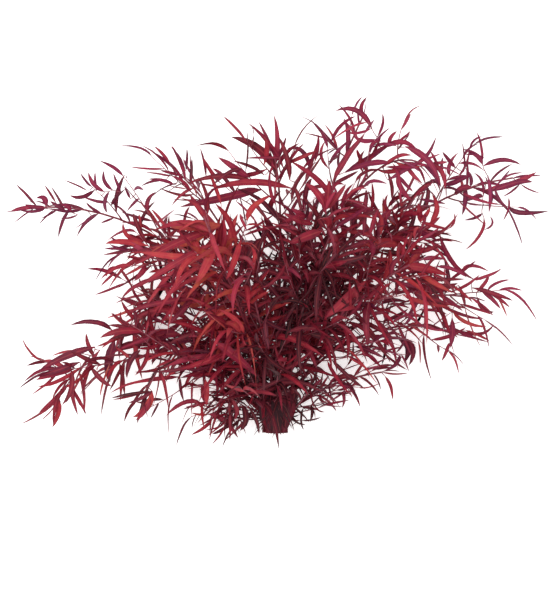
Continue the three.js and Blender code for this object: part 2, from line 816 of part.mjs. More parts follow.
const group = new THREE.Group();
for (const stem of bunch) {
  const dyedLeafage = new THREE.MeshStandardMaterial({ color: 0x7a1a26, roughness: 0.62, metalness: 0 });
  const leafyStem = new THREE.Mesh(leafyStemGeometry(stem), dyedLeafage);
  leafyStem.name = stem.plan.name;
  group.add(leafyStem);
}
const box = new THREE.Box3().setFromObject(group);
const middle = box.getCenter(new THREE.Vector3());
group.children.forEach((leafyStem) => leafyStem.geometry.translate(-middle.x, -middle.y, -box.min.z));

export default group;
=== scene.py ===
"""A bunch of dried, dyed narrow-leaved eucalyptus lying on a pale table, seen from above.

The stems, side shoots and leaves grow by the same rule as the solids of the frame, so each solid
leaf has its finer one in the same place, and the leaves that are not solid fill in between them.
Leaves that stand out in the photo are added one by one, each where it is seen.
"""

import functools
import math

import bpy
import numpy as np
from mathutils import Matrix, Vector


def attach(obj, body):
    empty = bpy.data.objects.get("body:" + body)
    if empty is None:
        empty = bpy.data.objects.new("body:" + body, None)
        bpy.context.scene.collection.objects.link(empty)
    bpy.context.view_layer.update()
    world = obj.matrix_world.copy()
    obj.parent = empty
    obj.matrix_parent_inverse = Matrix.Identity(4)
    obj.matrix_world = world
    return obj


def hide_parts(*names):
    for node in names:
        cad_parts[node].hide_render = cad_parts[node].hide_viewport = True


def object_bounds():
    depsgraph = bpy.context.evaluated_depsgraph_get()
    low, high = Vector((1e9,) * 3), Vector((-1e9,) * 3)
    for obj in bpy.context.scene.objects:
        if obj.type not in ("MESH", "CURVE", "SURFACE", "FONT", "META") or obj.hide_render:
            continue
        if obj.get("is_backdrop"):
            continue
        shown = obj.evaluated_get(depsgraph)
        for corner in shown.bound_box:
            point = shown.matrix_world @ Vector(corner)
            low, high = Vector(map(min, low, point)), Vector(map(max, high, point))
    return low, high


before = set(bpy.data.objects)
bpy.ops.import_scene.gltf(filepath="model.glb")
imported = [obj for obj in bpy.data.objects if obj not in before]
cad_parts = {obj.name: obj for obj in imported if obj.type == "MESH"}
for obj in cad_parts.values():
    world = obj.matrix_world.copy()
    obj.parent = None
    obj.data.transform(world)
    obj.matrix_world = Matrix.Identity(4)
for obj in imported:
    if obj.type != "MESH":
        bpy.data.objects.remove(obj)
CAD_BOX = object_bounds()

bl_info = {
    "name": "Dried Eucalyptus Bunch",
    "version": (1, 0, 0),
    "blender": (4, 5, 0),
    "location": "View3D > Sidebar > Eucalyptus",
    "description": "Leaves, twigs and table of a bunch of dried, dyed eucalyptus",
    "category": "Object",
}

MM = 0.001
BODY = "root"

# The growth rule, in millimetres, as in the part's source. The neck's cut ends are at y = 0.
STEM_FLATS = 5.2
STEM_GAP = 0.3
STEM_TIP_RADIUS = 1.2
STEM_STEPS = 9
NECK_LENGTH = 12
NECK_HEIGHT = 13.6
PITCH = STEM_FLATS + STEM_GAP
STEM_RADIUS = STEM_FLATS / math.sqrt(3)
ARC_STEPS = 200
TANGENT_STEP = 0.0001

SHOOT_RADIUS = 1
SHOOT_TIP_RADIUS = 0.7
SHOOT_STEPS = 3
SHOOT_ANGLE = 0.8
SHOOT_SWING = 0.28
SHOOT_TAPER = 0.5
SHOOT_RANGES = {"turn": (-0.4, 0.4), "length": (0.75, 1.25), "angle": (0.75, 1.2)}
GOLDEN_TURN = 2.4

LEAF_SPACING = 6.7
SHOOT_LEAVES = (0.04, 0.995)
LEAF_ANGLE = (0.77, 0.56)
END_LEAF = {"angle": 0.12, "size": 0.85}
LEAF_TAPER = {"from": 0.6, "size": 0.9}
LEAF_RANGES = {
    "length": (0.7, 1.25),
    "width": (0.76, 1.24),
    "angle": (0.5, 2),
    "roll": (-1.2, 1.2),
    "sickle": (-0.66, 0.66),
    "arch": (-0.25, 0.35),
    "twist": (-0.7, 0.7),
    "hang": (0.2, 1.8),
    "turn": (-0.8, 0.8),
}
LEAF_STATIONS = ((0.28, 1), (0.7, 0.82))
FIRST_STATION = LEAF_STATIONS[0][0]
KEEL = 0.8
FOLD = 0.22
LOW_LEAVES = {"count": 7, "angle": 1, "size": 0.6, "hang": 0.8}
INNER_LEAVES = {"reach": 150, "size": 0.7}

LEAF_STEP = 5
ROOT_ROOM = 0.012
LAID_FROM = 3
CEILING = {"shoot": 208, "leaf": 236}
CLEARANCE = 0.5
CARRIER_ROOM = 0.6
TURNS = 12
TURN_STEP = (5 * 2 * math.pi) / TURNS
SHOOT_STOPS = (0.03, 0.15, 1 / 3, 2 / 3, 1)
LEAF_STOPS = (0.03, 0.2, 0.28, 0.7, 1)
LEAF_ROOM = (0.36, 0.5, 0.5, 0.42)

DRAW_FACTOR = 16807
DRAW_LIMIT = 2147483647
FIRST_SEED = 1000
SEED_STEP = 37
LOOK_SEED = 7

# Each stem: its place in the neck, how far it runs straight on, where it bends towards, its tip,
# its side shoots (from, to, count, length), its leafy end, its leaves (length, width), how far they
# hang, the tone of its dye (0 dark, 1 orange red), how plum it is, and the shoots with a given end.
STEMS = {
    "stem_far_left": (
        (-1, -0.5), 110, (-120, 316, 84), (-318, 298, 74),
        (0.12, 0.5, 6, 64), 0.7, (42, 5.2), 0.1, 0.32, 0.45,
        ((0.78, -236, 324, 92), (0.66, -196, 338, 96), (0.7, -204, 236, 90)),
    ),
    "stem_upper_left": (
        (0, 0), 110, (-50, 285, 95), (-130, 346, 105),
        (0.12, 0.82, 8, 62), 0.87, (44, 4.4), 0.15, 0.45, 0.35,
        ((0.82, -158, 362, 110),),
    ),
    "stem_top_left": (
        (0, 1), 100, (16, 280, 130), (0, 356, 154),
        (0.2, 0.9, 8, 74), 0.84, (60, 6.4), 0.2, 0.52, 0.15,
        ((0.8, -58, 364, 170), (0.75, 50, 352, 150)),
    ),
    "stem_top": (
        (0, -1), 120, (58, 300, 50), (116, 420, 66),
        (0.2, 0.88, 7, 72), 0.74, (44, 4.8), 0.15, 0.48, 0.5,
        ((0.86, 62, 398, 80),),
    ),
    "stem_top_right": (
        (1, 0.5), 100, (86, 396, 135), (186, 352, 130),
        (0.16, 0.88, 7, 62), 0.75, (48, 5.2), 0.25, 0.58, 0.4,
        ((0.7, 130, 386, 124),),
    ),
    "stem_far_right": (
        (1, -1.5), 90, (124, 314, 55), (312, 338, 64),
        (0.12, 0.86, 6, 60), 0.74, (46, 5.2), 0.2, 0.4, 0.5,
        ((0.8, 258, 380, 80), (0.84, 318, 300, 60)),
    ),
    "stem_right": (
        (2, 0), 56, (140, 212, 72), (256, 180, 80),
        (0.44, 0.92, 9, 72), 0.8, (46, 5.2), 0.3, 0.55, 0.3,
        (),
    ),
    "stem_right_lower": (
        (2, -1), 50, (112, 180, 40), (240, 132, 26),
        (0.46, 0.94, 7, 62), 0.8, (42, 4.4), 0.2, 0.5, 0.3,
        (),
    ),
    "stem_right_low": (
        (3, 0.5), 20, (58, 70, 36), (142, 82, 30),
        (0.14, 0.9, 10, 46), 0.7, (40, 4.6), 0.15, 0.45, 0.15,
        (),
    ),
    "stem_front_low": (
        (0, 2), 40, (-6, 110, 120), (-36, 214, 160),
        (0.16, 0.92, 10, 66), 0.8, (48, 6), 0.25, 0.3, 0.0,
        (),
    ),
    "stem_left_droop": (
        (-2, 1), 36, (-238, 188, 100), (-290, 40, 45),
        (0.1, 0.88, 8, 58), 0.8, (54, 6.2), 0.15, 0.5, 0.0,
        ((0.42, -186, 146, 90), (0.62, -288, 86, 92), (0.55, -180, 48, 60)),
    ),
    "stem_left_low": (
        (-2, -1), 30, (-90, 128, 34), (-186, 122, 24),
        (0.14, 0.9, 10, 60), 0.7, (46, 5.2), 0.25, 0.5, 0.1,
        ((0.62, -168, 34, 20),),
    ),
    "stem_left": (
        (-1, 0.5), 70, (-92, 232, 120), (-170, 234, 95),
        (0.1, 0.92, 14, 82), 0.8, (54, 6.4), 0.25, 0.62, 0.05,
        (),
    ),
    "stem_left_back": (
        (-1, -1.5), 60, (-108, 200, 30), (-184, 166, 32),
        (0.1, 0.92, 15, 82), 0.8, (50, 5.6), 0.15, 0.5, 0.1,
        (),
    ),
    "stem_bottom_left": (
        (-3, -0.5), 12, (-46, 86, 20), (-66, 24, 30),
        (0.12, 0.95, 9, 46), 0.6, (40, 4.6), 0.3, 0.5, 0.05,
        ((0.7, -112, 22, 24),),
    ),
    "stem_front_left": (
        (-1, 1.5), 55, (-44, 170, 185), (-88, 282, 186),
        (0.16, 0.92, 11, 84), 0.8, (66, 8), 0.3, 0.68, 0.0,
        ((0.8, -34, 276, 205),),
    ),
    "stem_front_right": (
        (1, 1.5), 55, (40, 204, 170), (86, 296, 178),
        (0.3, 0.92, 12, 88), 0.8, (56, 6.8), 0.3, 0.52, 0.15,
        (),
    ),
    "stem_right_front": (
        (2, 1), 60, (92, 192, 140), (186, 230, 146),
        (0.38, 0.94, 12, 78), 0.8, (54, 6.2), 0.3, 0.56, 0.08,
        (),
    ),
    "stem_back": (
        (0, -2), 100, (16, 210, 14), (18, 284, 16),
        (0.1, 0.92, 10, 76), 0.8, (44, 4.6), 0.0, 0.3, 0.2,
        (),
    ),
    "stem_right_middle": (
        (1, -0.5), 64, (88, 256, 80), (172, 270, 104),
        (0.26, 0.92, 15, 92), 0.8, (52, 6), 0.25, 0.54, 0.12,
        (),
    ),
    "stem_left_middle": (
        (-2, 0), 60, (-70, 200, 60), (-146, 256, 66),
        (0.14, 0.92, 12, 78), 0.8, (50, 5.6), 0.1, 0.5, 0.1,
        (),
    ),
}
PLAN_KEYS = (
    "slot", "straight", "bend", "tip", "shoots", "leafy", "leaf", "hang", "tone", "plum", "aimed",
)
UP = np.array((0.0, 0.0, 1.0))

# Side shoots that aren't solid: the stem, the place along it and the shoot's end
SPRAYS = (
    ("stem_top_left", 0.75, -69, 326, 150),
    ("stem_top_left", 0.9, -35, 376, 160),
    ("stem_back", 0.6, -22, 256, 40),
    ("stem_front_low", 0.9, -17, 256, 150),
    ("stem_front_right", 0.6, 30, 266, 150),
    ("stem_back", 0.75, 45, 272, 40),
    ("stem_front_right", 0.6, 91, 248, 140),
    ("stem_right_middle", 0.6, 143, 246, 70),
    ("stem_right_middle", 0.9, 169, 315, 105),
    ("stem_right_middle", 0.9, 214, 251, 90),
    ("stem_right_front", 0.45, 91, 201, 110),
    ("stem_right_front", 0.9, 212, 199, 130),
    ("stem_right", 0.9, 299, 191, 75),
    ("stem_right_lower", 0.6, 175, 105, 30),
    ("stem_right_lower", 0.3, 78, 64, 40),
    ("stem_right_low", 0.12, 35, 17, 20),
    ("stem_bottom_left", 0.6, -91, 25, 24),
    ("stem_left_low", 0.2, -56, 16, 30),
    ("stem_left_low", 0.45, -103, 85, 50),
    ("stem_left_back", 0.45, -116, 116, 30),
    ("stem_left_back", 0.9, -212, 126, 40),
    ("stem_left_droop", 0.9, -308, 98, 50),
    ("stem_top", 0.9, 100, 418, 70),
    ("stem_front_right", 0.9, 72, 326, 175),
    ("stem_top_right", 0.9, 163, 402, 125),
    ("stem_left", 0.75, -90, 266, 110),
    ("stem_front_right", 0.5, 36, 292, 160),
    ("stem_right_front", 0.5, 96, 262, 130),
    ("stem_right_middle", 0.35, 98, 240, 90),
    ("stem_front_left", 0.5, -62, 236, 170),
    ("stem_left", 0.3, -64, 216, 110),
    ("stem_left", 0.4, -104, 180, 110),
    ("stem_left_back", 0.7, -176, 190, 60),
    ("stem_left_low", 0.3, -100, 92, 60),
    ("stem_left_droop", 0.2, -112, 124, 70),
    ("stem_left_low", 0.55, -132, 112, 50),
    ("stem_bottom_left", 0.3, -86, 40, 40),
    ("stem_bottom_left", 0.15, -60, 22, 34),
    ("stem_bottom_left", 0.5, -100, 60, 40),
    ("stem_right_front", 0.5, 152, 192, 120),
    ("stem_right_low", 0.2, 52, 64, 40),
    ("stem_right_low", 0.35, 84, 72, 40),
    ("stem_right_low", 0.05, 26, 34, 36),
    ("stem_right_middle", 0.95, 150, 306, 110),
    ("stem_back", 0.3, -30, 150, 30),
    ("stem_back", 0.3, 34, 150, 30),
    ("stem_back", 0.55, 4, 250, 40),
    ("stem_upper_left", 0.8, -84, 300, 100),
    ("stem_top_left", 0.4, -38, 258, 130),
    ("stem_front_right", 0.7, 92, 250, 165),
    ("stem_right_middle", 0.9, 206, 256, 100),
    ("stem_left_low", 0.5, -128, 84, 40),
    ("stem_bottom_left", 0.7, -118, 36, 30),
    ("stem_left_middle", 0.95, -160, 266, 70),
)
SPRAY_SEED = 500

# Spots with few leaves, seen from above: the middle and the reach of each
BARE_SPOTS = (
    (-254, 295, 30), (-169, 367, 22), (-186, 320, 24), (-202, 266, 20), (-215, 217, 28),
    (-202, 150, 20), (-58, 371, 30), (0, 392, 20), (-45, 290, 34), (-72, 295, 26), (20, 312, 22),
    (110, 393, 52), (124, 345, 28), (176, 372, 30), (292, 302, 34), (228, 290, 26), (270, 328, 22),
    (247, 224, 34), (254, 170, 30), (-273, 94, 24), (-292, 42, 26), (-140, 58, 28),
    (-169, 98, 20), (-20, 215, 12), (110, 155, 18), (78, 93, 16), (188, 228, 12), (98, 350, 30),
    (-234, 291, 36), (-156, 288, 22), (-195, 210, 24), (-150, 211, 20), (-247, 119, 22), (62, 352, 20),
    (-30, 346, 26), (39, 315, 18), (110, 320, 24), (98, 126, 20), (234, 291, 30), (162, 174, 18),
    (-28, 29, 18), (45, 35, 16), (-20, 288, 20), (198, 122, 24), (85, 86, 14), (240, 288, 34),
    (52, 373, 20), (-97, 58, 18), (-58, 45, 16), (130, 87, 16), (-123, 152, 18),
)
BARE_SHARE = 0.85

# Leaves that stand out in the photo, measured part by part. Each has the pixel of its root,
# of its middle and of its tip (right and down from the photo's top left corner), and its width.
TOP_LEFT_LEAVES = (
    (277, 172, 258, 148, 231, 137, 8), (248, 180, 235, 168, 218, 157, 6),
    (265, 175, 250, 166, 233, 161, 3), (253, 184, 222, 176, 187, 184, 5),
    (288, 190, 250, 182, 210, 190, 6), (265, 190, 222, 198, 180, 207, 7),
    (284, 158, 265, 158, 246, 158, 2.5), (290, 180, 287, 158, 279, 137, 5),
    (310, 175, 303, 152, 287, 148, 4), (328, 195, 311, 174, 291, 162, 5),
    (343, 153, 326, 137, 311, 120, 3.5), (326, 172, 321, 155, 326, 141, 3),
    (325, 208, 317, 193, 305, 183, 6), (325, 208, 328, 193, 330, 180, 6),
    (327, 208, 337, 197, 346, 184, 5), (372, 129, 357, 111, 335, 111, 5),
    (170, 165, 163, 154, 154, 146, 3), (187, 182, 180, 162, 171, 145, 3),
    (186, 170, 187, 160, 187, 148, 2.5), (206, 177, 204, 162, 200, 148, 2.5),
    (165, 180, 153, 181, 141, 186, 2.5), (175, 185, 162, 180, 148, 179, 3),
    (148, 215, 148, 201, 156, 192, 4), (143, 200, 134, 203, 127, 211, 2.5),
    (224, 221, 196, 227, 168, 226, 8),
)
LEFT_LEAVES = (
    (145, 244, 123, 242, 105, 244, 6), (130, 248, 117, 249, 104, 249, 3),
    (128, 244, 118, 242, 111, 237, 3), (224, 224, 180, 242, 130, 268, 8),
    (217, 245, 207, 264, 195, 284, 8), (240, 243, 234, 262, 226, 280, 6),
    (215, 240, 178, 262, 137, 288, 6), (170, 280, 140, 284, 121, 300, 4),
    (140, 320, 128, 312, 121, 300, 3.5), (113, 331, 95, 322, 70, 325, 5),
    (145, 330, 120, 331, 100, 338, 6), (145, 240, 137, 224, 134, 213, 4),
    (142, 239, 128, 236, 123, 223, 4), (115, 273, 108, 279, 101, 286, 2.5),
    (119, 268, 110, 269, 106, 277, 3), (147, 262, 142, 272, 134, 281, 5),
    (122, 266, 127, 278, 133, 289, 2.5), (200, 262, 170, 256, 140, 252, 6),
    (190, 300, 160, 303, 128, 312, 5), (195, 320, 165, 310, 135, 318, 5),
)
DROOPING_LEAVES = (
    (95, 347, 65, 357, 38, 372, 7), (80, 362, 58, 370, 37, 377, 6), (85, 368, 60, 380, 37, 387, 4),
    (75, 370, 72, 388, 62, 405, 5), (75, 378, 73, 396, 78, 415, 4), (100, 350, 88, 370, 83, 397, 4),
    (92, 368, 101, 379, 111, 386, 4.5), (112, 342, 109, 362, 110, 382, 8),
    (140, 350, 130, 362, 127, 378, 5), (150, 348, 145, 362, 135, 375, 4),
    (180, 377, 155, 379, 130, 383, 4), (155, 380, 132, 383, 110, 393, 2.5),
    (152, 391, 131, 394, 111, 398, 3), (152, 392, 142, 398, 128, 403, 3.5),
    (152, 393, 147, 407, 133, 417, 6), (162, 366, 165, 385, 168, 408, 3),
    (182, 380, 181, 390, 184, 402, 3), (203, 400, 185, 402, 166, 416, 4),
    (72, 385, 56, 398, 38, 413, 4), (60, 400, 59, 412, 52, 428, 5),
)
FAR_LEFT_LEAVES = (
    (38, 207, 24, 208, 10, 212, 4), (45, 208, 35, 207, 25, 204, 4), (35, 204, 26, 194, 16, 184, 2.5),
    (32, 210, 23, 216, 14, 223, 1.5), (50, 206, 44, 198, 36, 198, 5), (53, 210, 46, 217, 39, 224, 1.5),
    (56, 203, 50, 193, 45, 185, 2.2), (66, 211, 57, 206, 50, 201, 4.5), (71, 212, 67, 206, 61, 205, 4),
    (78, 215, 69, 218, 60, 218, 2), (92, 217, 83, 223, 75, 229, 1.2), (98, 215, 92, 208, 86, 202, 2.5),
    (112, 218, 106, 221, 101, 223, 2), (93, 193, 82, 197, 70, 195, 4), (88, 191, 76, 185, 64, 180, 1.6),
    (105, 192, 94, 184, 88, 172, 4), (113, 190, 105, 182, 104, 170, 3.5),
    (121, 192, 117, 183, 113, 173, 2.5), (130, 199, 127, 192, 124, 186, 2.5),
    (106, 193, 105, 203, 108, 213, 3.5),
)
TOP_RIGHT_LEAVES = (
    (333, 178, 347, 157, 365, 134, 6), (345, 172, 370, 157, 392, 142, 6),
    (385, 148, 403, 142, 420, 154, 5), (405, 147, 427, 160, 441, 186, 6),
    (432, 163, 443, 174, 445, 190, 4.5), (432, 164, 440, 163, 448, 162, 3),
    (437, 165, 434, 158, 430, 151, 2.5), (389, 145, 391, 137, 397, 131, 3.5),
    (402, 139, 406, 136, 410, 131, 2.5), (363, 118, 361, 107, 367, 97, 3.5),
    (348, 152, 348, 134, 344, 118, 4), (368, 122, 350, 128, 333, 140, 2),
    (368, 131, 357, 133, 345, 131, 2.5), (372, 140, 363, 141, 353, 135, 4),
    (390, 160, 367, 164, 345, 173, 5), (388, 180, 405, 170, 419, 162, 4),
    (395, 166, 408, 167, 422, 166, 3), (398, 175, 405, 184, 413, 192, 3.5),
    (396, 180, 403, 191, 412, 200, 5), (389, 215, 385, 205, 388, 194, 3),
    (364, 210, 366, 200, 366, 189, 4), (371, 212, 373, 197, 372, 182, 3),
    (430, 224, 437, 209, 432, 195, 5), (422, 208, 428, 195, 424, 184, 4),
    (424, 184, 432, 182, 441, 184, 2), (368, 210, 352, 204, 338, 206, 6),
    (420, 222, 419, 212, 418, 203, 6), (422, 220, 427, 214, 430, 207, 4),
)
FAR_RIGHT_LEAVES = (
    (446, 188, 457, 181, 472, 174, 5), (470, 187, 462, 188, 454, 194, 5),
    (464, 185, 465, 200, 462, 215, 4.5), (483, 197, 482, 182, 474, 173, 2.5),
    (488, 176, 490, 195, 489, 213, 3.5), (482, 163, 481, 147, 477, 132, 3),
    (486, 168, 476, 155, 463, 149, 4), (464, 172, 464, 157, 462, 142, 1.6),
    (459, 177, 466, 163, 469, 149, 2.5), (486, 169, 502, 160, 521, 165, 4),
    (485, 190, 513, 184, 537, 172, 6), (490, 192, 515, 183, 533, 182, 5),
    (495, 188, 507, 176, 524, 173, 2), (496, 191, 499, 200, 508, 207, 3),
    (507, 206, 522, 213, 549, 211, 4.5), (509, 198, 508, 210, 503, 221, 2),
    (520, 184, 512, 191, 503, 197, 2), (520, 186, 530, 190, 540, 193, 1.6),
    (483, 197, 477, 196, 471, 200, 4), (482, 213, 475, 218, 464, 220, 2.5),
    (484, 218, 480, 234, 465, 250, 3), (484, 230, 492, 224, 490, 216, 2.5),
    (422, 224, 435, 226, 448, 229, 3.5), (448, 229, 454, 222, 454, 213, 2),
    (441, 238, 452, 262, 475, 280, 4.5), (472, 280, 487, 276, 502, 268, 3),
    (474, 291, 494, 294, 513, 301, 4), (485, 294, 499, 299, 510, 308, 3),
    (477, 297, 483, 309, 495, 312, 3.5),
)
RIGHT_LEAVES = (
    (400, 245, 380, 243, 355, 247, 9), (392, 213, 382, 222, 378, 240, 7),
    (410, 250, 425, 250, 440, 245, 5), (405, 268, 425, 268, 448, 275, 8),
    (405, 285, 430, 290, 458, 283, 9), (410, 290, 425, 297, 445, 302, 7),
    (458, 285, 463, 297, 465, 308, 3), (440, 305, 460, 314, 484, 319, 3),
    (452, 311, 467, 323, 487, 326, 3.5), (458, 330, 480, 334, 494, 324, 3),
    (428, 337, 449, 336, 466, 327, 3.5), (465, 330, 478, 335, 490, 341, 2.5),
    (441, 321, 449, 329, 458, 338, 3), (452, 318, 452, 334, 450, 348, 5),
    (449, 343, 446, 352, 442, 361, 3), (400, 338, 408, 348, 404, 363, 6),
    (405, 340, 413, 350, 409, 366, 5), (418, 340, 420, 352, 420, 365, 1.6),
    (398, 350, 396, 364, 384, 371, 3.5), (383, 373, 395, 374, 409, 373, 1.6),
    (385, 376, 391, 388, 393, 400, 3), (330, 379, 345, 376, 359, 380, 5),
    (339, 388, 344, 398, 342, 408, 3), (366, 300, 366, 320, 368, 345, 7),
    (365, 285, 345, 300, 325, 318, 8),
)
BOTTOM_LEAVES = (
    (216, 346, 236, 357, 257, 376, 8), (262, 318, 266, 332, 269, 350, 4),
    (288, 384, 281, 393, 270, 398, 3), (206, 310, 216, 322, 222, 338, 6),
    (230, 370, 234, 384, 226, 396, 5), (206, 380, 207, 393, 206, 405, 5),
    (208, 410, 224, 420, 238, 438, 5), (212, 420, 203, 428, 191, 435, 3),
    (230, 424, 221, 430, 212, 434, 3), (230, 400, 230, 420, 230, 441, 2.5),
    (235, 398, 237, 410, 234, 420, 4), (245, 404, 246, 418, 240, 431, 6),
    (253, 411, 257, 422, 259, 434, 3.5), (308, 402, 312, 412, 310, 422, 3),
    (316, 394, 321, 400, 328, 403, 3), (301, 410, 301, 420, 304, 430, 2),
    (311, 407, 318, 410, 325, 412, 1.6), (318, 331, 303, 328, 287, 333, 5),
    (348, 300, 335, 308, 324, 320, 7), (311, 300, 304, 308, 302, 318, 2.5),
)
LOWER_LEFT_LEAVES = (
    (215, 300, 195, 303, 172, 300, 8), (205, 240, 180, 243, 150, 252, 9),
    (185, 333, 160, 335, 135, 345, 7), (160, 338, 137, 343, 113, 352, 7),
    (200, 345, 185, 352, 165, 352, 6), (215, 352, 190, 358, 165, 367, 5),
    (210, 360, 185, 368, 150, 372, 4), (220, 365, 200, 372, 180, 378, 5),
    (180, 345, 160, 352, 152, 365, 5), (190, 362, 170, 362, 155, 368, 4),
    (205, 340, 180, 340, 160, 345, 6), (75, 366, 55, 373, 36, 380, 6),
    (150, 396, 145, 410, 136, 420, 5),
)
MIDDLE_LEAVES = (
    (310, 217, 297, 217, 281, 223, 5), (305, 219, 299, 213, 291, 208, 5),
    (290, 227, 281, 217, 271, 209, 5), (313, 224, 298, 220, 283, 213, 5),
    (342, 213, 355, 217, 370, 213, 6), (363, 236, 365, 212, 366, 190, 4),
    (370, 236, 373, 222, 379, 209, 4), (331, 228, 334, 243, 333, 258, 4),
    (304, 242, 317, 254, 328, 268, 5), (320, 222, 343, 226, 367, 242, 3),
    (322, 231, 305, 237, 289, 243, 8), (323, 240, 305, 248, 288, 259, 6),
    (329, 265, 348, 260, 366, 255, 6), (252, 240, 247, 257, 237, 277, 7),
    (263, 234, 252, 250, 242, 270, 6), (282, 265, 276, 279, 261, 288, 4),
    (316, 296, 306, 303, 301, 315, 3), (323, 274, 317, 295, 316, 321, 5),
    (236, 201, 248, 212, 259, 227, 2), (240, 214, 243, 222, 247, 231, 3),
    (250, 198, 260, 210, 270, 223, 3.5), (297, 188, 299, 200, 302, 215, 3.5),
)
SEEN_LEAVES = (
    *TOP_LEFT_LEAVES, *LEFT_LEAVES, *DROOPING_LEAVES, *FAR_LEFT_LEAVES, *TOP_RIGHT_LEAVES,
    *FAR_RIGHT_LEAVES, *RIGHT_LEAVES, *BOTTOM_LEAVES, *LOWER_LEFT_LEAVES, *MIDDLE_LEAVES,
)
# Measured in the same way: the leaves that lie over the neck and hide it
NECK_LEAVES = (
    (268, 385, 264, 405, 266, 430, 7), (272, 390, 268, 410, 271, 434, 7),
    (276, 385, 275, 408, 276, 434, 8), (281, 385, 282, 408, 280, 433, 8),
    (286, 388, 288, 405, 284, 430, 8), (290, 390, 292, 408, 287, 424, 7),
    (263, 395, 262, 410, 263, 426, 6), (279, 395, 279, 412, 279, 434, 7),
    (284, 400, 286, 415, 283, 434, 7), (271, 400, 270, 415, 268, 434, 7),
    (292, 385, 294, 398, 291, 412, 7), (274, 402, 273, 418, 274, 435, 7),
    (288, 400, 288, 415, 285, 432, 8), (266, 392, 267, 408, 264, 424, 7),
    (295, 392, 293, 404, 289, 418, 6), (282, 396, 284, 412, 287, 428, 6),
    (277, 398, 277, 416, 281, 435, 6),
)

# How the photo is seen: its pixels, the millimetres to a pixel at one level, and the camera's place
PHOTO_SIZE = (550, 591)
PHOTO_MIDDLE = (PHOTO_SIZE[0] / 2, PHOTO_SIZE[1] / 2)
PHOTO_SCALE = 1.3
PHOTO_LEVEL = 80
CAMERA_AT = (0, 183.95, 2200)

SEEN_SEED = 900
SEEN_RANGES = {"roll": (-0.45, 0.45), "twist": (-0.4, 0.4)}
SEEN_ARCH = 0.05  # rise of the middle, as a share of the length
ROLLED_WIDER = 1.15  # a rolled blade looks narrower than it is
LEAF_RISE = 8  # of a tip over its root
LEAF_LEVELS = (5, 218)  # lowest and highest tip
NECK_LEVELS = (38, 33)  # of the roots and tips of the leaves over the neck

# A seen leaf grows from the highest spot on a twig within a few pixels of its root. Where there is
# none, a fine twig leads to it from the spot that is closest, counting higher ones as closer.
SPOT_SHARES = tuple(i / 30 for i in range(2, 31))
SPOT_REACH = 4.5
HEIGHT_LEAD = 0.05
TWIG_RISE = 3
TWIG_TOP = 200

# Lines of the twigs: places along them, radii in mm, and how young the wood is (0 old, 1 young)
STEM_SHARES = tuple(i / 24 for i in range(25))
TWIG_SHARES = tuple(i / 8 for i in range(9))
FINE_TWIG = 0.6
TWIG_TIP_RADIUS = SHOOT_TIP_RADIUS * 0.6
STEM_TIP_YOUTH = 0.75
TWIG_YOUTH = (0.4, 1)

# Outline of a blade: share of its length, share of its full width
BLADE_OUTLINE = (
    (0, 0.16), (0.06, 0.34), (0.15, 0.78), (0.28, 1), (0.43, 1),
    (0.58, 0.93), (0.73, 0.78), (0.88, 0.47), (1, 0.03),
)
LOWEST = 0.1 * MM
SECTION_SIDES = 6
THICKNESS = 0.07  # half of it, as a share of the half width
WAVINESS = 2 * MM
WAVE_LENGTH = 18 * MM
CREASE_ANGLE = 50
TWIG_SIDES = 8
KNOBBLINESS = 0.6 * MM
KNOB_SPACING = 6 * MM
BLADE_NOISE = 3.0
TWIG_NOISE = 1.0

# Painted shade: spots where the leaves are dyed darker and less plum, standing in for the shade deep in
# the bunch and about the neck: the middle, the reach and how much tone is lost. They are longer along
# the bunch than they are wide.
PAINTED_SHADE_SPOTS = ((0, 0, 150, 0.5), (45, 190, 110, 0.36))
PAINTED_SHADE_STRETCH = 1.6
TONE_SPREAD = 0.14
PLUM_SPREAD = 0.1
ROOT_PLUM = 0.3
DYE_TOP = 0.9
BLOTCH_DEPTH = 0.5

# Layers of a leaf's colour: where each starts and ends, and how much of it shows at each end
RIB_FADE = (0.05, 0.24, 0.26, 0)
RIM_FADE = (0.7, 1, 0, 0.35)
TIP_FADE = (0.75, 1, 0, 0.4)
UNDERSIDE_FADE = (-1, 0, 0.4, 0)

# The stage, in metres, and the camera's sensor in mm
TABLE_SIZE = 8.0
SENSOR_HEIGHT = 24
VIEW_DEPTH = 50
KEY_SIZE = (1.8, 1.4)
KEY_AT = (-0.9, 0.7, 2.3)
KEY_TARGET = (0, -0.05, 0.1)

PARALLEL = 1e-9  # of two stretches: less spread than this counts as none
CUT_DEPTH = 0.01  # in mm, of the slice that holds the corners of a cut end


class Limb:
    """A stem, a shoot or a leaf: its line, its straight stations and the room that it takes."""

    def __init__(self, **facts):
        self.clear = self.fine = False
        self.shoots = ()
        self.__dict__.update(facts)


def seeded_draw(seed):
    """Even draws from 0 to 1, the same each time for one seed."""
    state = seed
    while True:
        state = (state * DRAW_FACTOR) % DRAW_LIMIT
        yield state / DRAW_LIMIT


def within(draw, limits):
    return limits[0] + (limits[1] - limits[0]) * next(draw)


def round_half_up(value):
    return math.floor(value + 0.5)


def mix(low, high, share):
    return low + (high - low) * share


def cross(a, b):
    return np.array((a[1] * b[2] - a[2] * b[1], a[2] * b[0] - a[0] * b[2], a[0] * b[1] - a[1] * b[0]))


def unit(v):
    return v / math.sqrt(v @ v)


def radial(direction, turn):
    """Square to a direction that is never upright: at no turn it is level and to the right."""
    across = unit(cross(direction, UP))
    up = unit(cross(across, direction))
    return across * math.cos(turn) + up * math.sin(turn)


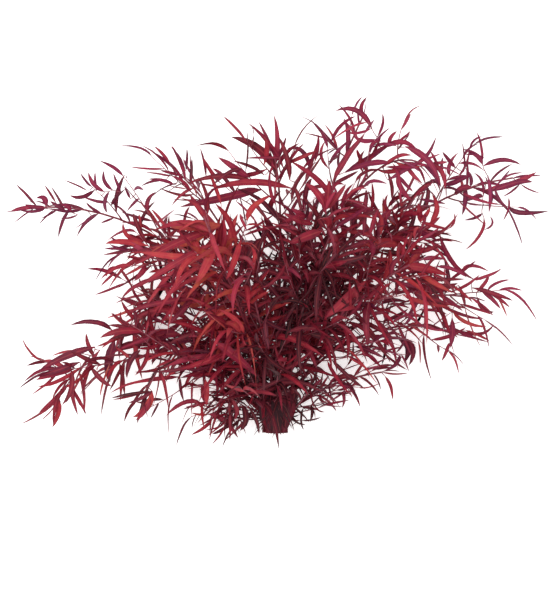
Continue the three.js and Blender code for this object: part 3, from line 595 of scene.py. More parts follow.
class Bow:
    """A bowed line: it leaves its root along its aim and is pulled to one side by its bow."""

    def __init__(self, root, aim, bow, length, **facts):
        self.root, self.aim, self.bow, self.length = root, aim, bow, length
        self.lift = 0.0
        self.laid = False
        self.__dict__.update(facts)

    def point(self, at):
        point = self.root + self.aim * (self.length * at) + self.bow * (self.length * at * at)
        point[2] += self.lift * at
        if self.laid:
            point[2] = self.root[2] * max(0, 1 - at / FIRST_STATION)
        return point

    def direction(self, at):
        along = self.aim * self.length + self.bow * (2 * self.length * at)
        along[2] += self.lift
        return unit(along)

    def across_at(self, at):
        """The way across a blade at one place along it, and the way that its face looks."""
        along = self.direction(at)
        flat = unit(self.across - along * (self.across @ along))
        across = flat * math.cos(self.twist * at) + cross(along, flat) * math.sin(self.twist * at)
        return across, cross(along, across)


class Bend:
    """The curve of a stem: a cubic with its tangent and length taken in small steps."""

    def __init__(self, *points):
        self.points = np.array(points, float)

    def point(self, at):
        k = 1 - at
        weights = np.array((k * k * k, 3 * k * k * at, 3 * k * at * at, at * at * at))
        return weights @ self.points

    def direction(self, at):
        ahead = min(1, at + TANGENT_STEP)
        behind = max(0, at - TANGENT_STEP)
        return unit(self.point(ahead) - self.point(behind))

    def length(self):
        points = np.array([self.point(i / ARC_STEPS) for i in range(ARC_STEPS + 1)])
        return float(np.linalg.norm(np.diff(points, axis=0), axis=1).sum())


def on_stretches(stations, at):
    """A place on the straight stretches between stations."""
    place = at * (len(stations) - 1)
    i = min(math.floor(place), len(stations) - 2)
    return mix(stations[i], stations[i + 1], place - i)


class Places:
    """The straight stretches placed so far, each with a radius and the limb that it is part of."""

    def __init__(self, room=4096):
        self.count = 0
        self.starts = np.zeros((room, 3))
        self.ends = np.zeros((room, 3))
        self.radii = np.zeros(room)
        self.owners = np.zeros(room, int)

    def keep(self, limb):
        for start, end, radius in zip(limb.stops, limb.stops[1:], limb.radii):
            i = self.count
            self.starts[i], self.ends[i], self.radii[i] = start, end, radius
            self.owners[i] = id(limb)
            self.count += 1

    def gaps(self, start, end):
        """The closest that a stretch comes to each one placed."""
        starts = self.starts[: self.count]
        runs = self.ends[: self.count] - starts
        run = end - start
        apart = start - starts
        a = run @ run
        b = runs @ run
        c = (runs * runs).sum(1)
        d = apart @ run
        e = (runs * apart).sum(1)
        spread = a * c - b * b
        usable = spread > PARALLEL
        first = np.where(usable, np.clip((b * e - c * d) / np.where(usable, spread, 1), 0, 1), 0)
        other = np.clip((b * first + e) / c, 0, 1)
        share = np.clip((b * other - d) / a, 0, 1)
        return np.linalg.norm(apart + run * share[:, None] - runs * other[:, None], axis=1)

    def is_clear(self, limb, carrier):
        radii = self.radii[: self.count]
        on_carrier = self.owners[: self.count] == id(carrier)
        for i, (start, end) in enumerate(zip(limb.stops, limb.stops[1:])):
            both = radii + limb.radii[i]
            room = both + CLEARANCE
            if i == 1:
                room = np.where(on_carrier, CARRIER_ROOM * both, room)
            short = self.gaps(start, end) < room
            if i == 0:
                short &= ~on_carrier
            if short.any():
                return False
        return True

    def place(self, make_at, carrier):
        """Tries each turn and keeps the first limb that is clear of the rest, if there is one."""
        for i in range(TURNS):
            limb = make_at(i * TURN_STEP)
            if self.is_clear(limb, carrier):
                limb.clear = True
                self.keep(limb)
                return limb
        return make_at(0)


def grow_stem(name, i):
    plan = dict(zip(PLAN_KEYS, STEMS[name]))
    column, height = plan["slot"]
    cut = np.array((column * PITCH * math.cos(math.pi / 6), 0, NECK_HEIGHT + height * PITCH))
    start = cut + (0, NECK_LENGTH, 0)
    ahead = start + (0, plan["straight"], 0)
    curve = Bend(start, ahead, plan["bend"], plan["tip"])
    stations = [curve.point(step / STEM_STEPS) for step in range(STEM_STEPS + 1)]
    lefts = [1 - step / STEM_STEPS for step in range(STEM_STEPS + 1)]
    radii = [STEM_TIP_RADIUS + (STEM_RADIUS - STEM_TIP_RADIUS) * left * left for left in lefts]
    return Limb(
        name=name, plan=plan, cut=cut, line=curve, stations=stations, radii=radii,
        stops=[cut, *stations], turn=i, clear=True, draw=seeded_draw(FIRST_SEED + SEED_STEP * i),
    )


def grow_shoot(stem, at, length, aim):
    root = on_stretches(stem.stations, at)
    line = Bow(root, aim, stem.line.direction(at) * SHOOT_SWING, length)
    height = line.point(1)[2]
    line.lift = max(0, SHOOT_RADIUS - height) - max(0, height - CEILING["shoot"])
    stops = [line.point(stop) for stop in SHOOT_STOPS]
    stations = [line.point(step / SHOOT_STEPS) for step in range(SHOOT_STEPS + 1)]
    return Limb(at=at, line=line, stations=stations, stops=stops, radii=[SHOOT_RADIUS] * len(stops))


def aimed_shoot(stem, at, end):
    out = np.array(end) - on_stretches(stem.stations, at)
    length = math.sqrt(out @ out)
    aim = out / length - stem.line.direction(at) * SHOOT_SWING
    return grow_shoot(stem, at, length, aim)


def grow_shoots(stem, places):
    """Shoots of one stem: first those with a given end, then those set round it in turn."""
    stem.shoots = []
    for at, *end in stem.plan["aimed"]:
        stem.shoots.append(places.place(lambda _: aimed_shoot(stem, at, end), stem))
    first, last, count, plain_length = stem.plan["shoots"]
    for i in range(count):
        share = i / (count - 1)
        at = first + (last - first) * share
        turn = stem.turn + i * GOLDEN_TURN + within(stem.draw, SHOOT_RANGES["turn"])
        length = plain_length * (1 - SHOOT_TAPER * share) * within(stem.draw, SHOOT_RANGES["length"])
        angle = SHOOT_ANGLE * within(stem.draw, SHOOT_RANGES["angle"])
        direction = stem.line.direction(at)

        def make_at(extra):
            out = radial(direction, turn + extra)
            aim = direction * math.cos(angle) + out * math.sin(angle)
            return grow_shoot(stem, at, length, aim)

        stem.shoots.append(places.place(make_at, stem))


def blade_ring(leaf, at, width):
    """The two edges and the midrib of a solid blade at one place along it."""
    across, face = leaf.across_at(at)
    half = width / 2
    middle = leaf.point(at)
    raised = middle + face * (half * leaf.fold)
    return raised + across * half, raised - across * half, middle - face * min(KEEL, width)


def settle(leaf):
    """Keeps a leaf over the table and below the bunch's top. One bent up far is laid flat instead."""
    lifts, drops = [0], [0]
    for at, wide in (*LEAF_STATIONS, (1, 0)):
        heights = [corner[2] for corner in blade_ring(leaf, at, leaf.width * wide)]
        lifts.append(-min(heights) / at)
        drops.append((max(heights) - CEILING["leaf"]) / at)
    leaf.lift = max(lifts) - max(drops)
    if leaf.lift < LAID_FROM or leaf.root[2] > FIRST_STATION * leaf.length:
        return
    sickle = leaf.bow @ leaf.across
    leaf.aim = unit(leaf.aim * (1, 1, 0))
    leaf.across = cross(leaf.aim, UP)
    leaf.bow = leaf.across * sickle
    leaf.laid, leaf.twist, leaf.fold, leaf.lift = True, 0, 0, 0


def leaf_maker(carrier, at, shape, draw):
    """Makes one leaf at any turn about its carrier. Its shape is the same at each turn."""
    root = on_stretches(carrier.stations, at)
    direction = carrier.line.direction(at)
    drawn = {name: within(draw, limits) for name, limits in LEAF_RANGES.items()}
    inner = mix(INNER_LEAVES["size"], 1, min(1, root[1] / INNER_LEAVES["reach"]))
    length = shape["length"] * drawn["length"] * inner
    width = shape["width"] * drawn["width"] * inner
    angle = shape["angle"] * drawn["angle"]

    def make_at(extra):
        out = radial(direction, shape["turn"] + drawn["turn"] + extra)
        aim = direction * math.cos(angle) + out * math.sin(angle)
        level = unit(cross(UP, aim))
        across = level * math.cos(drawn["roll"]) + cross(aim, level) * math.sin(drawn["roll"])
        bow = across * drawn["sickle"] + cross(aim, across) * drawn["arch"]
        bow[1] -= shape["hang"] * drawn["hang"]
        line = Bow(root, aim, bow, length, width=width, across=across, twist=drawn["twist"], fold=FOLD)
        settle(line)
        stops = [line.point(stop) for stop in LEAF_STOPS]
        return Limb(line=line, stops=stops, radii=[share * width for share in LEAF_ROOM])

    return make_at


def grow_leaves(carrier, plan, run, draw, places):
    """Leaves set alternately along a carrier, the last of them at its end unless they are low ones."""
    length, width = plan["leaf"]
    low = run.get("low", False)
    leaves = []
    for i in range(1, run["count"] + 1):
        along = i / run["count"]
        is_end = i == run["count"] and not low
        size = 1 - LEAF_TAPER["size"] * max(0, along - LEAF_TAPER["from"])
        if is_end:
            size = END_LEAF["size"]
        if low:
            size = LOW_LEAVES["size"]
        plain = mix(*LEAF_ANGLE, along) * (LOW_LEAVES["angle"] if low else 1)
        shape = {
            "length": length * size,
            "width": width * size,
            "angle": END_LEAF["angle"] if is_end else plain,
            "turn": run["turn"] + i * math.pi,
            "hang": LOW_LEAVES["hang"] if low else plan["hang"],
        }
        at = run["from"] + (run["to"] - run["from"]) * along
        make_at = leaf_maker(carrier, at, shape, draw)
        has_room = all(abs(other.at - at) > ROOT_ROOM for other in carrier.shoots)
        is_tried = carrier.clear and has_room and (is_end or (i + run["turn"]) % LEAF_STEP == 0)
        leaf = places.place(make_at, carrier) if is_tried else make_at(0)
        leaf.along = along
        leaves.append(leaf)
    return leaves


def grow_shoot_leaves(shoot, turn, plan, draw, places):
    run = {
        "from": SHOOT_LEAVES[0],
        "to": SHOOT_LEAVES[1],
        "count": round_half_up(shoot.line.length / LEAF_SPACING),
        "turn": turn,
    }
    shoot.leaves = grow_leaves(shoot, plan, run, draw, places)


def grow_all_leaves(stem, places):
    plan, draw = stem.plan, stem.draw
    for turn, shoot in enumerate(stem.shoots):
        grow_shoot_leaves(shoot, turn, plan, draw, places)
    count = round_half_up((stem.line.length() * (1 - plan["leafy"])) / LEAF_SPACING)
    leafy_end = {"from": plan["leafy"], "to": SHOOT_LEAVES[1], "count": count, "turn": 0}
    low = {"from": 0, "to": plan["shoots"][0], "count": LOW_LEAVES["count"], "turn": 0, "low": True}
    stem.leaves = [
        leaf for run in (leafy_end, low) for leaf in grow_leaves(stem, plan, run, draw, places)
    ]


def is_bare(leaf):
    """Whether a leaf that is neither solid nor seen by itself lies where there are few leaves."""
    middle = leaf.line.point(0.5)
    return not leaf.clear and any(math.dist(middle[:2], (x, y)) < reach for x, y, reach in BARE_SPOTS)


def add_sprays(bunch, places):
    """The side shoots that aren't solid, with their leaves."""
    stems = {stem.name: stem for stem in bunch}
    draw = seeded_draw(SPRAY_SEED)
    for turn, (name, at, *end) in enumerate(SPRAYS):
        stem = stems[name]
        spray = aimed_shoot(stem, at, end)
        grow_shoot_leaves(spray, turn, stem.plan, draw, places)
        stem.shoots.append(spray)


def seen(places):
    """The photo's pixels where places in the bunch are seen."""
    scale = (CAMERA_AT[2] - PHOTO_LEVEL) / (CAMERA_AT[2] - places[:, 2]) / PHOTO_SCALE
    return np.stack((
        PHOTO_MIDDLE[0] + (places[:, 0] - CAMERA_AT[0]) * scale,
        PHOTO_MIDDLE[1] - (places[:, 1] - CAMERA_AT[1]) * scale,
    ), 1)


def placed(x, y, level):
    """The place at one level that is seen at a pixel of the photo."""
    scale = PHOTO_SCALE * (CAMERA_AT[2] - level) / (CAMERA_AT[2] - PHOTO_LEVEL)
    side, ahead = (x - PHOTO_MIDDLE[0]) * scale, (PHOTO_MIDDLE[1] - y) * scale
    return np.array((CAMERA_AT[0] + side, CAMERA_AT[1] + ahead, level))


class Spots:
    """Places along the twigs where a leaf can grow."""

    def __init__(self, bunch):
        self.places = np.zeros((0, 3))
        self.facts = []
        for stem in bunch:
            for carrier in (stem, *stem.shoots):
                self.add(stem, carrier)

    def add(self, stem, carrier):
        self.places = np.vstack((self.places, [carrier.line.point(at) for at in SPOT_SHARES]))
        self.facts += [(stem, carrier, at) for at in SPOT_SHARES]

    def find(self, x, y):
        """The highest spot close to a pixel, or else the closest, with a lead for higher ones."""
        gaps = np.linalg.norm(seen(self.places) - (x, y), axis=1)
        heights = self.places[:, 2]
        is_close = bool((gaps < SPOT_REACH).any())
        ranks = np.where(gaps < SPOT_REACH, heights, -1) if is_close else HEIGHT_LEAD * heights - gaps
        i = int(np.argmax(ranks))
        return self.places[i], is_close, *self.facts[i]


def seen_leaf(root, middle, tip, width, draw):
    """A leaf from its root through its middle to its tip."""
    run = tip - root
    length = math.sqrt(run @ run)
    bow = (tip + root - 2 * middle) * (2 / length)
    aim = run / length - bow
    left = unit(cross(UP, run))
    roll = within(draw, SEEN_RANGES["roll"])
    across = left * math.cos(roll) + cross(unit(aim), left) * math.sin(roll)
    twist = within(draw, SEEN_RANGES["twist"])
    line = Bow(root, aim, bow, length, width=width, across=across, twist=twist, fold=FOLD)
    settle(line)
    return Limb(line=line, along=0.5, clear=True)


def add_seen_leaf(spots, row, draw, levels=None):
    """Adds a leaf as seen in the photo, on a fine twig of its own where no twig is close."""
    x, y, middle_x, middle_y, tip_x, tip_y, width = row
    root, is_close, stem, carrier, at = spots.find(x, y)
    if levels or not is_close:
        root = placed(x, y, levels[0] if levels else min(TWIG_TOP, root[2] + TWIG_RISE))
        twig = aimed_shoot(carrier, at, root)
        twig.leaves, twig.fine = [], True
        stem.shoots.append(twig)
        spots.add(stem, twig)
    end = levels[1] if levels else min(LEAF_LEVELS[1], max(LEAF_LEVELS[0], root[2] + LEAF_RISE))
    tip = placed(tip_x, tip_y, end)
    middle = placed(middle_x, middle_y, (root[2] + end) / 2)
    middle[2] += SEEN_ARCH * math.dist(root, tip)
    wide = placed(x + width * ROLLED_WIDER, y, end)[0] - placed(x, y, end)[0]
    stem.leaves.append(seen_leaf(root, middle, tip, wide, draw))


def add_seen_leaves(bunch):
    draw = seeded_draw(SEEN_SEED)
    spots = Spots(bunch)
    for row in SEEN_LEAVES:
        add_seen_leaf(spots, row, draw)
    for row in NECK_LEAVES:
        add_seen_leaf(spots, row, draw, NECK_LEVELS)


@functools.lru_cache(maxsize=1)
def grow_bunch():
    places = Places()
    bunch = [grow_stem(name, i) for i, name in enumerate(STEMS)]
    for stem in bunch:
        places.keep(stem)
    for stem in bunch:
        grow_shoots(stem, places)
    for stem in bunch:
        grow_all_leaves(stem, places)
    add_sprays(bunch, places)
    add_seen_leaves(bunch)
    return bunch


def table_offset():
    """From the growth rule's place to the frame's, in mm: found at the cut end of the middle stem."""
    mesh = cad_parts["stem_upper_left"].data
    corners = np.array([v.co for v in mesh.vertices], float) / MM
    cut = corners[corners[:, 1] < corners[:, 1].min() + CUT_DEPTH]
    middle = (cut.min(0) + cut.max(0)) / 2
    return middle - (0, 0, NECK_HEIGHT)


def linear(hex_colour):
    """An sRGB hex value as linear RGBA."""
    values = [int(hex_colour[i : i + 2], 16) / 255 for i in (1, 3, 5)]
    return (*[v / 12.92 if v <= 0.04045 else ((v + 0.055) / 1.055) ** 2.4 for v in values], 1.0)


def add_node(tree, kind, inputs=None, **settings):
    """Adds a node with its settings. An input is a value, or a socket that is linked to it."""
    node = tree.nodes.new(kind)
    for name, value in settings.items():
        setattr(node, name, value)
    for key, value in (inputs or {}).items():
        if isinstance(value, bpy.types.NodeSocket):
            tree.links.new(value, node.inputs[key])
        else:
            node.inputs[key].default_value = value
    return node


def set_ramp(node, stops):
    """Gives a Color Ramp node its stops: a place and a hex colour each."""
    elements = node.color_ramp.elements
    while len(elements) < len(stops):
        elements.new(0.5)
    for element, (place, colour) in zip(elements, stops):
        element.position = place
        element.color = linear(colour)


def new_material(name):
    material = bpy.data.materials.new(name)
    material.use_nodes = True
    material.node_tree.nodes.clear()
    return material, material.node_tree


def leaf_colour(tree, looks, blotch):
    """Dye that is uneven over the blade, under a paler midrib, a darker rim and tip, and a duller
    underside."""
    tone, plum, along, across, face = (
        add_node(tree, "ShaderNodeAttribute", attribute_name=name).outputs["Fac"]
        for name in ("tone", "plum", "along", "across", "face")
    )
    uneven = add_node(
        tree, "ShaderNodeMath", {0: blotch, 1: BLOTCH_DEPTH, 2: tone}, operation="MULTIPLY_ADD"
    )
    dye = add_node(
        tree, "ShaderNodeMath", {0: uneven.outputs[0], 1: BLOTCH_DEPTH / 2},
        operation="SUBTRACT", use_clamp=True,
    )
    ramp = add_node(tree, "ShaderNodeValToRGB", {"Fac": dye.outputs[0]})
    set_ramp(ramp, (
        (0, looks.darkest), (0.3, looks.dark), (0.55, looks.middle), (0.8, looks.bright), (1, looks.warmest),
    ))
    from_rib = add_node(tree, "ShaderNodeMath", {0: across}, operation="ABSOLUTE").outputs[0]
    layers = [(plum, looks.plum)]
    for value, (start, end, start_share, end_share), colour in (
        (from_rib, RIB_FADE, looks.rib),
        (from_rib, RIM_FADE, looks.darkest),
        (along, TIP_FADE, looks.dark),
        (face, UNDERSIDE_FADE, looks.underside),
    ):
        fade = add_node(tree, "ShaderNodeMapRange", {
            "Value": value, "From Min": start, "From Max": end, "To Min": start_share, "To Max": end_share,
        })
        layers.append((fade.outputs[0], colour))
    mixed = ramp.outputs["Color"]
    for share, colour in layers:
        mixed = add_node(
            tree, "ShaderNodeMix", {0: share, 6: mixed, 7: linear(colour)}, data_type="RGBA"
        ).outputs[2]
    return mixed


def leaf_material(looks):
    """Preserved eucalyptus leaf, soaked in glycerine and red dye: leathery, with a soft waxy sheen
    that is broken up by dye blotches and by a grain drawn a little coarser than the real one."""
    material, tree = new_material("dyed_preserved_leaf")
    place = add_node(tree, "ShaderNodeTexCoord").outputs["Object"]
    blotch = add_node(
        tree, "ShaderNodeTexNoise", {"Vector": place, "Scale": 1 / (9 * MM), "Detail": 3.0}
    ).outputs["Fac"]
    grain = add_node(
        tree, "ShaderNodeTexNoise", {"Vector": place, "Scale": 1 / (1.2 * MM), "Detail": 2.0}
    ).outputs["Fac"]
    rough = add_node(
        tree, "ShaderNodeMapRange", {"Value": blotch, "To Min": 0.46, "To Max": 0.66}
    )
    bump = add_node(
        tree, "ShaderNodeBump", {"Height": grain, "Strength": 0.35, "Distance": 0.25 * MM}
    )
    surface = add_node(
        tree, "ShaderNodeBsdfPrincipled",
        {
            "Base Color": leaf_colour(tree, looks, blotch),
            "Roughness": rough.outputs[0],
            "Normal": bump.outputs[0],
            "IOR": 1.4,
            "Specular IOR Level": 0.36,
        },
    )
    add_node(tree, "ShaderNodeOutputMaterial", {"Surface": surface.outputs[0]})
    return material


def twig_material(looks):
    """Preserved eucalyptus twig: fine matt bark, dark red where it is old and dusty pink where young."""
    material, tree = new_material("dyed_preserved_twig")
    place = add_node(tree, "ShaderNodeTexCoord").outputs["Object"]
    age = add_node(tree, "ShaderNodeAttribute", attribute_name="young").outputs["Fac"]
    streaks = add_node(
        tree, "ShaderNodeTexNoise", {"Vector": place, "Scale": 1 / (2.5 * MM), "Detail": 4.0}
    ).outputs["Fac"]
    spread = add_node(
        tree, "ShaderNodeMath", {0: streaks, 1: 0.6, 2: age}, operation="MULTIPLY_ADD"
    )
    shade = add_node(
        tree, "ShaderNodeMath", {0: spread.outputs[0], 1: 0.3}, operation="SUBTRACT", use_clamp=True
    )
    ramp = add_node(tree, "ShaderNodeValToRGB", {"Fac": shade.outputs[0]})
    set_ramp(ramp, ((0, looks.old_bark), (0.5, looks.bark), (1, looks.young_bark)))
    bump = add_node(
        tree, "ShaderNodeBump", {"Height": streaks, "Strength": 0.5, "Distance": 0.3 * MM}
    )
    surface = add_node(
        tree, "ShaderNodeBsdfPrincipled",
        {
            "Base Color": ramp.outputs["Color"],
            "Roughness": 0.75,
            "Normal": bump.outputs[0],
            "Specular IOR Level": 0.2,
        },
    )
    add_node(tree, "ShaderNodeOutputMaterial", {"Surface": surface.outputs[0]})
    return material


def table_material(looks):
    """Matt white paint on the table, which gives off a little light so that shadows stay soft."""
    material, tree = new_material("matt_white_paint")
    place = add_node(tree, "ShaderNodeTexCoord").outputs["Object"]
    mottle = add_node(tree, "ShaderNodeTexNoise", {"Vector": place, "Scale": 1 / (400 * MM)})
    ramp = add_node(tree, "ShaderNodeValToRGB", {"Fac": mottle.outputs["Fac"]})
    set_ramp(ramp, ((0, looks.table), (1, "#ffffff")))
    surface = add_node(
        tree, "ShaderNodeBsdfPrincipled",
        {
            "Base Color": ramp.outputs["Color"],
            "Roughness": 0.9,
            "Emission Color": (1, 1, 1, 1),
            "Emission Strength": looks.glow,
        },
    )
    add_node(tree, "ShaderNodeOutputMaterial", {"Surface": surface.outputs[0]})
    return material


def new_node_tree(name, inputs):
    """A Geometry Nodes tree with its named inputs: a name, a socket type and a value each."""
    tree = bpy.data.node_groups.new(name, "GeometryNodeTree")
    tree.interface.new_socket("Geometry", in_out="INPUT", socket_type="NodeSocketGeometry")
    for label, kind, value in inputs:
        socket = tree.interface.new_socket(label, in_out="INPUT", socket_type=kind)
        if value is not None:
            socket.default_value = value
    tree.interface.new_socket("Geometry", in_out="OUTPUT", socket_type="NodeSocketGeometry")
    return tree, add_node(tree, "NodeGroupInput").outputs


def end_tree(tree, mesh, material):
    real = add_node(tree, "GeometryNodeRealizeInstances", {"Geometry": mesh})
    painted = add_node(
        tree, "GeometryNodeSetMaterial", {"Geometry": real.outputs[0], "Material": material}
    )
    add_node(tree, "NodeGroupOutput", {0: painted.outputs[0]})


def rested(tree, mesh):
    """Flattens what would dip under the table top, and shades the mesh smooth."""
    spot = add_node(tree, "GeometryNodeInputPosition")
    parts = add_node(tree, "ShaderNodeSeparateXYZ", {0: spot.outputs[0]})
    height = add_node(tree, "ShaderNodeMath", {0: parts.outputs["Z"], 1: LOWEST}, operation="MAXIMUM")
    place = add_node(
        tree, "ShaderNodeCombineXYZ",
        {"X": parts.outputs["X"], "Y": parts.outputs["Y"], "Z": height.outputs[0]},
    )
    lifted = add_node(tree, "GeometryNodeSetPosition", {"Geometry": mesh, "Position": place.outputs[0]})
    smooth = add_node(
        tree, "GeometryNodeSetShadeSmooth",
        {"Geometry": lifted.outputs[0], "Shade Smooth": True}, domain="FACE",
    )
    return smooth.outputs[0]


def strayed(tree, mesh, reach, scale, seed):
    """Moves each point of a mesh off its place by smooth noise."""
    place = add_node(tree, "GeometryNodeInputPosition")
    noise = add_node(
        tree, "ShaderNodeTexNoise",
        {"Vector": place.outputs[0], "W": seed, "Scale": scale, "Detail": 1.0}, noise_dimensions="4D",
    )
    centred = add_node(
        tree, "ShaderNodeVectorMath", {0: noise.outputs["Color"], 1: (0.5, 0.5, 0.5)}, operation="SUBTRACT"
    )
    shift = add_node(
        tree, "ShaderNodeVectorMath", {0: centred.outputs[0], "Scale": reach}, operation="SCALE"
    )
    moved = add_node(tree, "GeometryNodeSetPosition", {"Geometry": mesh, "Offset": shift.outputs[0]})
    return moved.outputs[0]


def creased(tree, mesh):
    """Keeps the rims of the blades sharp."""
    angle = add_node(tree, "GeometryNodeInputMeshEdgeAngle")
    is_rim = add_node(
        tree, "FunctionNodeCompare",
        {0: angle.outputs["Unsigned Angle"], 1: math.radians(CREASE_ANGLE)}, operation="GREATER_THAN",
    )
    sharp = add_node(
        tree, "GeometryNodeSetShadeSmooth",
        {"Geometry": mesh, "Selection": is_rim.outputs[0], "Shade Smooth": False}, domain="EDGE",
    )
    return sharp.outputs[0]


def blade_section(tree, given):
    """A lens folded at the midrib, with how far across it a point is and which way it faces."""
    circle = add_node(
        tree, "GeometryNodeCurvePrimitiveCircle", {"Resolution": SECTION_SIDES, "Radius": 1.0}
    )
    half_side = math.pi / SECTION_SIDES
    section = add_node(
        tree, "GeometryNodeTransform",
        {
            "Geometry": circle.outputs["Curve"],
            "Rotation": (0, 0, half_side),
            "Scale": (1 / math.cos(half_side), 1, 1),
        },
    )
    place = add_node(tree, "GeometryNodeInputPosition")
    parts = add_node(tree, "ShaderNodeSeparateXYZ", {0: place.outputs[0]})
    for name, axis in (("across", "X"), ("face", "Y")):
        section = add_node(
            tree, "GeometryNodeStoreNamedAttribute",
            {"Geometry": section.outputs[0], "Name": name, "Value": parts.outputs[axis]},
            data_type="FLOAT", domain="POINT",
        )
    thick = add_node(
        tree, "ShaderNodeMath", {0: parts.outputs["Y"], 1: given["Thickness"]}, operation="MULTIPLY"
    )
    apart = add_node(tree, "ShaderNodeMath", {0: parts.outputs["X"]}, operation="ABSOLUTE")
    raised = add_node(
        tree, "ShaderNodeMath",
        {0: apart.outputs[0], 1: given["Fold"], 2: thick.outputs[0]}, operation="MULTIPLY_ADD",
    )
    corner = add_node(tree, "ShaderNodeCombineXYZ", {"X": parts.outputs["X"], "Y": raised.outputs[0]})
    folded = add_node(
        tree, "GeometryNodeSetPosition", {"Geometry": section.outputs[0], "Position": corner.outputs[0]}
    )
    return folded.outputs[0]


def blade_tree():
    """Sweeps a folded, lens-shaped section along each blade's line."""
    tree, given = new_node_tree("Blades along lines", (
        ("Thickness", "NodeSocketFloat", THICKNESS),
        ("Fold", "NodeSocketFloat", FOLD),
        ("Waviness", "NodeSocketFloat", WAVINESS),
        ("Wave length", "NodeSocketFloat", WAVE_LENGTH),
        ("Material", "NodeSocketMaterial", None),
    ))
    across_way = add_node(
        tree, "GeometryNodeInputNamedAttribute", {"Name": "across_way"}, data_type="FLOAT_VECTOR"
    )
    half_width = add_node(
        tree, "GeometryNodeInputNamedAttribute", {"Name": "half_width"}, data_type="FLOAT"
    )
    lines = add_node(tree, "GeometryNodeMeshToCurve", {"Mesh": given["Geometry"]})
    turned = add_node(
        tree, "GeometryNodeSetCurveNormal",
        {"Curve": lines.outputs[0], "Normal": across_way.outputs[0]}, mode="FREE",
    )
    swept = add_node(
        tree, "GeometryNodeCurveToMesh",
        {
            "Curve": turned.outputs[0],
            "Profile Curve": blade_section(tree, given),
            "Scale": half_width.outputs[0],
            "Fill Caps": True,
        },
    )
    scale = add_node(tree, "ShaderNodeMath", {0: 1.0, 1: given["Wave length"]}, operation="DIVIDE")
    waved = strayed(tree, swept.outputs[0], given["Waviness"], scale.outputs[0], BLADE_NOISE)
    end_tree(tree, creased(tree, rested(tree, waved)), given["Material"])
    return tree


def twig_tree():
    """Sweeps a round section along each twig's line, a little knobbly."""
    tree, given = new_node_tree("Twigs along lines", (
        ("Sides", "NodeSocketInt", TWIG_SIDES),
        ("Knobbliness", "NodeSocketFloat", KNOBBLINESS),
        ("Material", "NodeSocketMaterial", None),
    ))
    radius = add_node(
        tree, "GeometryNodeInputNamedAttribute", {"Name": "twig_radius"}, data_type="FLOAT"
    )
    circle = add_node(
        tree, "GeometryNodeCurvePrimitiveCircle", {"Resolution": given["Sides"], "Radius": 1.0}
    )
    lines = add_node(tree, "GeometryNodeMeshToCurve", {"Mesh": given["Geometry"]})
    swept = add_node(
        tree, "GeometryNodeCurveToMesh",
        {
            "Curve": lines.outputs[0],
            "Profile Curve": circle.outputs["Curve"],
            "Scale": radius.outputs[0],
            "Fill Caps": True,
        },
    )
    knobbly = strayed(tree, swept.outputs[0], given["Knobbliness"], 1 / KNOB_SPACING, TWIG_NOISE)
    end_tree(tree, rested(tree, knobbly), given["Material"])
    return tree


def lines_object(name, lines, attributes):
    """A mesh of open lines, each an array of points in mm, with its attributes at each point."""
    counts = [len(line) for line in lines]
    points = np.concatenate(lines) * MM
    firsts = np.cumsum([0, *counts[:-1]])
    edges = [(first + i, first + i + 1) for first, count in zip(firsts, counts) for i in range(count - 1)]
    mesh = bpy.data.meshes.new(name)
    mesh.from_pydata(points.tolist(), edges, [])
    for label, values in attributes.items():
        values = np.asarray(values, np.float32)
        kind, field = ("FLOAT", "value") if values.ndim == 1 else ("FLOAT_VECTOR", "vector")
        mesh.attributes.new(label, kind, "POINT").data.foreach_set(field, values.ravel())
    obj = bpy.data.objects.new(name, mesh)
    bpy.context.scene.collection.objects.link(obj)
    return obj


def run_tree(obj, tree, values):
    """Runs a tree on an object and keeps what it makes as the object's plain mesh."""
    modifier = obj.modifiers.new(tree.name, "NODES")
    modifier.node_group = tree
    for item in tree.interface.items_tree:
        if item.in_out == "INPUT" and item.name in values:
            modifier[item.identifier] = values[item.name]
    bpy.context.view_layer.update()
    evaluated = obj.evaluated_get(bpy.context.evaluated_depsgraph_get())
    mesh = bpy.data.meshes.new_from_object(evaluated)
    mesh.name = obj.name
    obj.modifiers.clear()
    obj.data = mesh


def finish_piece(piece, node):
    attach(piece, BODY)
    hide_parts(node)


def leaf_dye(leaf, plan, draws):
    """The tone of a leaf and how plum it is, with both lowered by painted shade in the deep middle of the
    bunch and about the neck.
    """
    x, y = leaf.line.root[:2]
    # Painted shade: leaves near the dark spots lose tone and plum, in place of the shade that falls there.
    shade = sum(
        darker * max(0, 1 - math.hypot((x - spot_x) * PAINTED_SHADE_STRETCH, y - spot_y) / reach)
        for spot_x, spot_y, reach, darker in PAINTED_SHADE_SPOTS
    )
    tone = min(DYE_TOP, plan["tone"] + draws.normal(0, TONE_SPREAD)) - shade
    plum = plan["plum"] * (ROOT_PLUM + leaf.along) + draws.normal(0, PLUM_SPREAD) - shade
    return tone, min(DYE_TOP, max(0, plum))


def leaf_lines(stem, offset, draws):
    """Each leaf of a stem as a line with the way across its blade, its width and its dye."""
    lines, across_ways, half_widths, tones, plums, alongs = [], [], [], [], [], []
    carried = [leaf for shoot in stem.shoots for leaf in shoot.leaves]
    for leaf in [*stem.leaves, *carried]:
        if is_bare(leaf) and draws.random() < BARE_SHARE:
            continue
        tone, plum = leaf_dye(leaf, stem.plan, draws)
        for at, wide in BLADE_OUTLINE:
            lines.append(leaf.line.point(at) + offset)
            across_ways.append(leaf.line.across_at(at)[0])
            half_widths.append(leaf.line.width * wide / 2 * MM)
            tones.append(tone)
            plums.append(plum)
            alongs.append(at)
    count = len(BLADE_OUTLINE)
    split = [np.array(lines[i : i + count]) for i in range(0, len(lines), count)]
    return split, {
        "across_way": across_ways,
        "half_width": half_widths,
        "tone": tones,
        "plum": plums,
        "along": alongs,
    }


